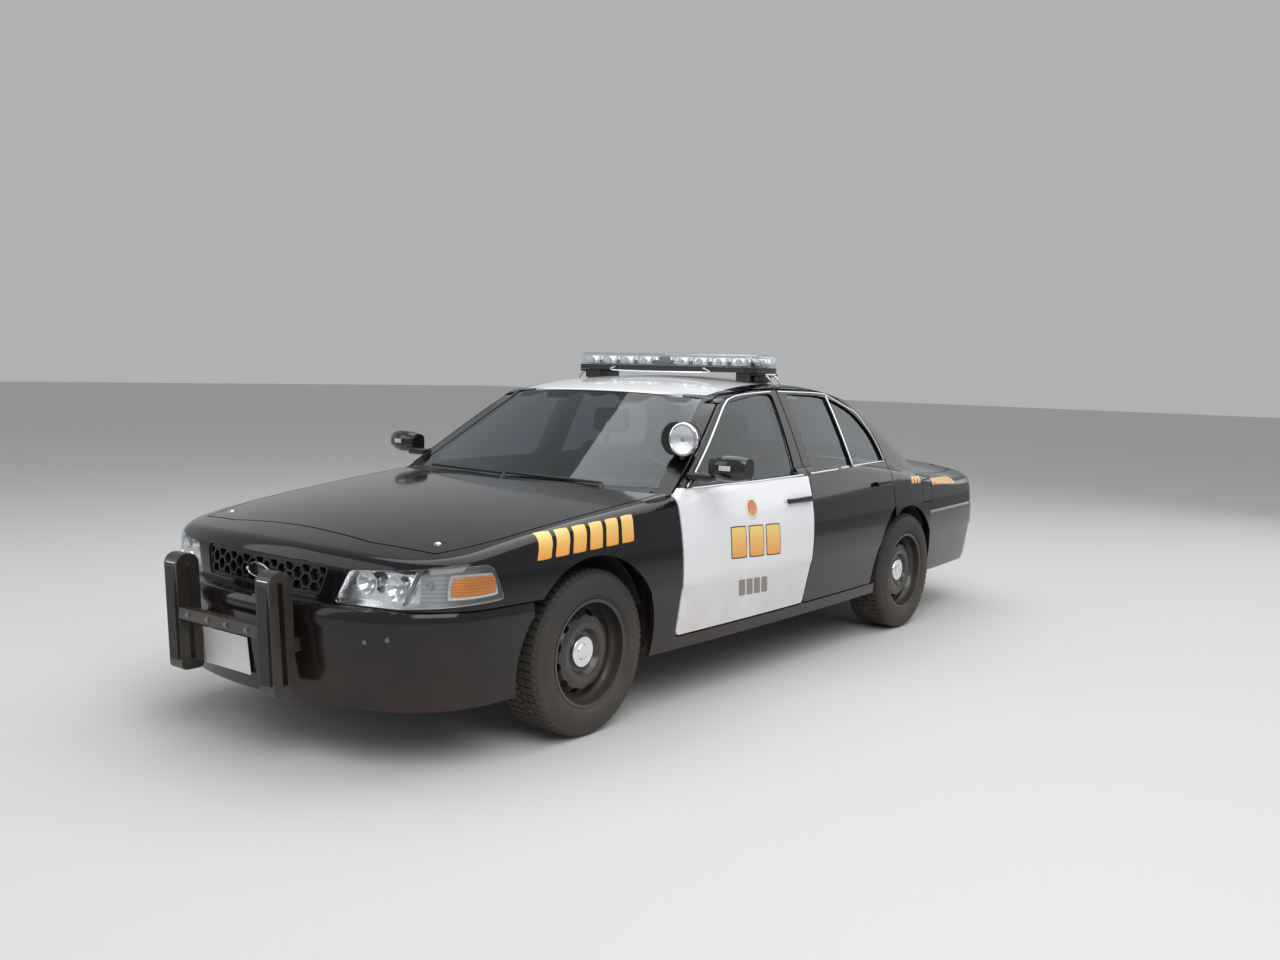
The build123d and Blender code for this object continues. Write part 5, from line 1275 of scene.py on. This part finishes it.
def makeCabin():
    s = cabinSettings
    fit("clusterPanel", joinBlocks(s["cluster"]), "glossPlastic")
    places = [((s["dialX"], y, s["dialZ"]), (0, -pi / 2, 0)) for y in s["dialY"]]
    fitSet("clusterRings", pin(s["dial"], 40), places, "chrome")
    blades = [((s["bladeX"], y, s["bladeZ"] + step * s["bladeStep"]), (0, s["bladeTilt"], 0))
              for y in s["ventY"] for step in range(s["blades"])]
    x, z = s["rimCentre"]
    rims = [[Vector((x, y + a, z + b)) for a, b in s["rim"]] for y in s["ventY"]]
    fitSet("ventBlades", joinBlocks(s["blade"]), blades, "blackPlastic")
    fitBeads("ventRims", rims, 0.004, "trimPlastic", 6)
    fit("radioUnits", joinBlocks(s["radio"]), "glossPlastic")
    knobs = [((0.684, y, z), (0, -pi / 2, 0)) for y in s["knobY"] for z in s["knobZ"]]
    fitSet("radioKnobs", pin(s["knob"], 20), knobs, "trimPlastic")


makeCabin()
print("cabin fittings made")


# seats: each cushion is a slimmer start shape, blown up by cloth pressure, then seamed
seatSettings = {
    "frontY": 0.402, "voxel": 0.011, "pressure": 4.0, "frames": 16, "cap": 0.018, "grooves": 0.007,
    # outlines are (x, z) round the side view, already a little smaller than the CAD solid
    "cushion": ((0.585, 0.418), (0.598, 0.500), (0.560, 0.548), (0.430, 0.552), (0.250, 0.540),
                (0.080, 0.520), (0.045, 0.500), (0.045, 0.418)),
    "back": ((0.085, 0.475), (0.062, 0.585), (0.020, 0.780), (-0.040, 0.980), (-0.068, 1.062),
             (-0.100, 1.088), (-0.150, 1.088), (-0.176, 1.060), (-0.160, 0.860), (-0.120, 0.680),
             (-0.040, 0.490)),
    "head": ((-0.082, 1.150), (-0.094, 1.270), (-0.112, 1.280), (-0.160, 1.280), (-0.176, 1.265),
             (-0.172, 1.150), (-0.150, 1.140), (-0.105, 1.140)),
    "rearCushion": ((-0.518, 0.440), (-0.510, 0.520), (-0.540, 0.550), (-0.700, 0.546), (-0.830, 0.525),
                    (-0.835, 0.440)),
    "rearBack": ((-0.852, 0.520), (-0.895, 0.700), (-0.945, 0.900), (-0.965, 0.945), (-1.000, 0.950),
                 (-1.045, 0.945), (-1.040, 0.800), (-1.020, 0.540), (-0.930, 0.500)),
}


def loftedPad(outline, low, high, slices, crown, bolster):
    # the side outline swept across, narrower at its ends, with raised edges
    work = bmesh.new()
    middle = Vector((sum(x for x, _ in outline) / len(outline), sum(z for _, z in outline) / len(outline)))
    rings = []
    for index in range(slices + 1):
        t = index / slices
        edge = abs(2 * t - 1)
        shrink = 1 - crown * edge ** 6
        ring = []
        for x, z in outline:
            spot = middle + (Vector((x, z)) - middle) * shrink
            lift = bolster * max(0.0, edge - 0.55) / 0.45 * (1 - edge ** 8)
            out = (Vector((x, z)) - middle).normalized() * lift
            ring.append(work.verts.new((spot.x + out.x, low + (high - low) * t, spot.y + out.y)))
        rings.append(ring)
    count = len(outline)
    for first, second in zip(rings, rings[1:]):
        for step in range(count):
            ahead = (step + 1) % count
            work.faces.new((first[step], first[ahead], second[ahead], second[step]))
    work.faces.new(rings[0][::-1])
    work.faces.new(rings[-1])
    bmesh.ops.recalc_face_normals(work, faces=work.faces)
    return workMesh(work)


def inflated(name, mesh, s):
    # even voxels, then cloth pressure; no point moves further than the cap
    pad = bpy.data.objects.new(name, mesh)
    scene.collection.objects.link(pad)
    soft = pad.modifiers.new("round", "SUBSURF")
    soft.levels = soft.render_levels = 2
    voxels = pad.modifiers.new("voxels", "REMESH")
    voxels.mode = "VOXEL"
    voxels.voxel_size = s["voxel"]
    even = evaluatedMesh(pad)
    pad.modifiers.clear()
    pad.data = even
    start = [vertex.co.copy() for vertex in even.vertices]
    cloth = pad.modifiers.new("cloth", "CLOTH")
    cloth.settings.use_pressure = True
    cloth.settings.uniform_pressure_force = s["pressure"]
    cloth.settings.effector_weights.gravity = 0.0
    cloth.settings.quality = 4
    cloth.collision_settings.use_collision = False
    cloth.point_cache.frame_start = 1
    cloth.point_cache.frame_end = s["frames"]
    for frameNumber in range(1, s["frames"] + 1):
        scene.frame_set(frameNumber)
    blown = evaluatedMesh(pad)
    for vertex, place in zip(blown.vertices, start):
        move = vertex.co - place
        if move.length > s["cap"]:
            vertex.co = place + move * (s["cap"] / move.length)
    pad.modifiers.clear()
    pad.data = blown
    scene.frame_set(1)
    result = pad.data
    bpy.data.objects.remove(pad)
    return result


def seamGrooves(mesh, lines, depth, width=0.011):
    # sewn channels: points near a seam plane sink along their normals
    for vertex in mesh.vertices:
        sink = 0.0
        for axis, place in lines:
            distance = abs(vertex.co[axis] - place)
            if distance < width:
                sink = max(sink, (1 - (distance / width) ** 2) ** 2)
        vertex.co -= vertex.normal * sink * depth
    mesh.update()


def refined(mesh):
    carrier = bpy.data.objects.new("carrier", mesh)
    soft = carrier.modifiers.new("soft", "SUBSURF")
    soft.levels = soft.render_levels = 1
    scene.collection.objects.link(carrier)
    result = evaluatedMesh(carrier)
    bpy.data.objects.remove(carrier)
    return result


def addPad(name, mesh, replaced):
    piece = addPiece(name, mesh, finishes["seatCloth"], "body", replaced, 180.0)
    return piece


def makeSeats():
    # label, outline, half width, raised edge, crown, seams as (axis, place)
    s = seatSettings
    parts = (("Cushion", s["cushion"], 0.220, 0.030, 0.10, ((1, -0.135), (1, 0.135), (0, 0.30))),
             ("Back", s["back"], 0.222, 0.028, 0.08, ((1, -0.135), (1, 0.135), (2, 0.80))),
             ("Head", s["head"], 0.118, 0.0, 0.12, ()))
    for label, outline, half, bolster, crown, seams in parts:
        pad = inflated("seat" + label, loftedPad(outline, -half, half, 14, crown, bolster), s)
        seamGrooves(pad, seams, s["grooves"])
        pad = refined(pad)
        for side, sign in bothSides:
            mesh = pad.copy()
            mesh.transform(Matrix.Translation((0, sign * s["frontY"], 0)))
            addPad("frontSeat" + label + side.title(), mesh, ("front_seat_" + side,))
    rear = (("rearCushion", s["rearCushion"], ((1, -0.19), (1, 0.19), (0, -0.66))),
            ("rearBack", s["rearBack"], ((1, -0.19), (1, 0.19), (2, 0.78))))
    for label, outline, seams in rear:
        pad = inflated(label, loftedPad(outline, -0.555, 0.555, 20, 0.08, 0.012), s)
        seamGrooves(pad, seams, s["grooves"])
        addPad(label, refined(pad), ("rear_seat",))
    for side, sign in bothSides:
        middle = sign * s["frontY"]
        posts = [[Vector((-0.128, middle + move, 1.06)), Vector((-0.131, middle + move, 1.17))]
                 for move in (-0.06, 0.06)]
        fitBeads("headPosts" + side.title(), posts, 0.006, "chrome", 12, 0.03)
        rails = [((0.114, middle + move - 0.02, 0.2905), (0.554, middle + move + 0.02, 0.412), 0.006, 2)
                 for move in (-0.19, 0.19)]
        fit("seatRails" + side.title(), joinBlocks(rails), "blackSteel")


makeSeats()
print("seats made")


# floor and lights
lightSettings = {
    "worldStrength": 0.50, "key": (380.0, 6.0, (4.5, 5.5, 6.5)), "fill": (130.0, 6.0, (7.5, -4.5, 4.0)),
    "top": (330.0, 8.0, (-1.0, 0.0, 7.0)), "back": (120.0, 6.0, (-7.5, 3.5, 4.5)),
}


def makeFloor():
    mesh = bpy.data.meshes.new("studioFloor")
    work = bmesh.new()
    bmesh.ops.create_grid(work, x_segments=1, y_segments=1, size=60)
    work.to_mesh(mesh)
    work.free()
    floor = bpy.data.objects.new("studioFloor", mesh)
    scene.collection.objects.link(floor)
    material, tree, shader = newMaterial("paleFloor")
    noise = addNode(tree, "ShaderNodeTexNoise")
    setInputs(noise, {"Scale": 3.0})
    linkTo(tree, mixColors(tree, noise.outputs["Fac"], (0.60, 0.60, 0.60), (0.64, 0.64, 0.64)),
           shader.inputs["Base Color"])
    setInputs(shader, {"Roughness": 0.75})
    mesh.materials.append(material)


def makeLight(name, power, size, place, target=(0, 0, 0.6)):
    data = bpy.data.lights.new(name, "AREA")
    data.energy = power
    data.size = size
    lamp = bpy.data.objects.new(name, data)
    lamp.location = place
    lamp.rotation_euler = (Vector(target) - Vector(place)).to_track_quat("-Z", "Y").to_euler()
    scene.collection.objects.link(lamp)


makeFloor()
for lightName in ("key", "fill", "top", "back"):
    makeLight(lightName, *lightSettings[lightName])
world = bpy.data.worlds.new("studio")
scene.world = world
world.use_nodes = True
world.node_tree.nodes["Background"].inputs["Color"].default_value = (0.86, 0.88, 0.9, 1)
world.node_tree.nodes["Background"].inputs["Strength"].default_value = lightSettings["worldStrength"]
scene.view_settings.view_transform = "Standard"
print("stage set")
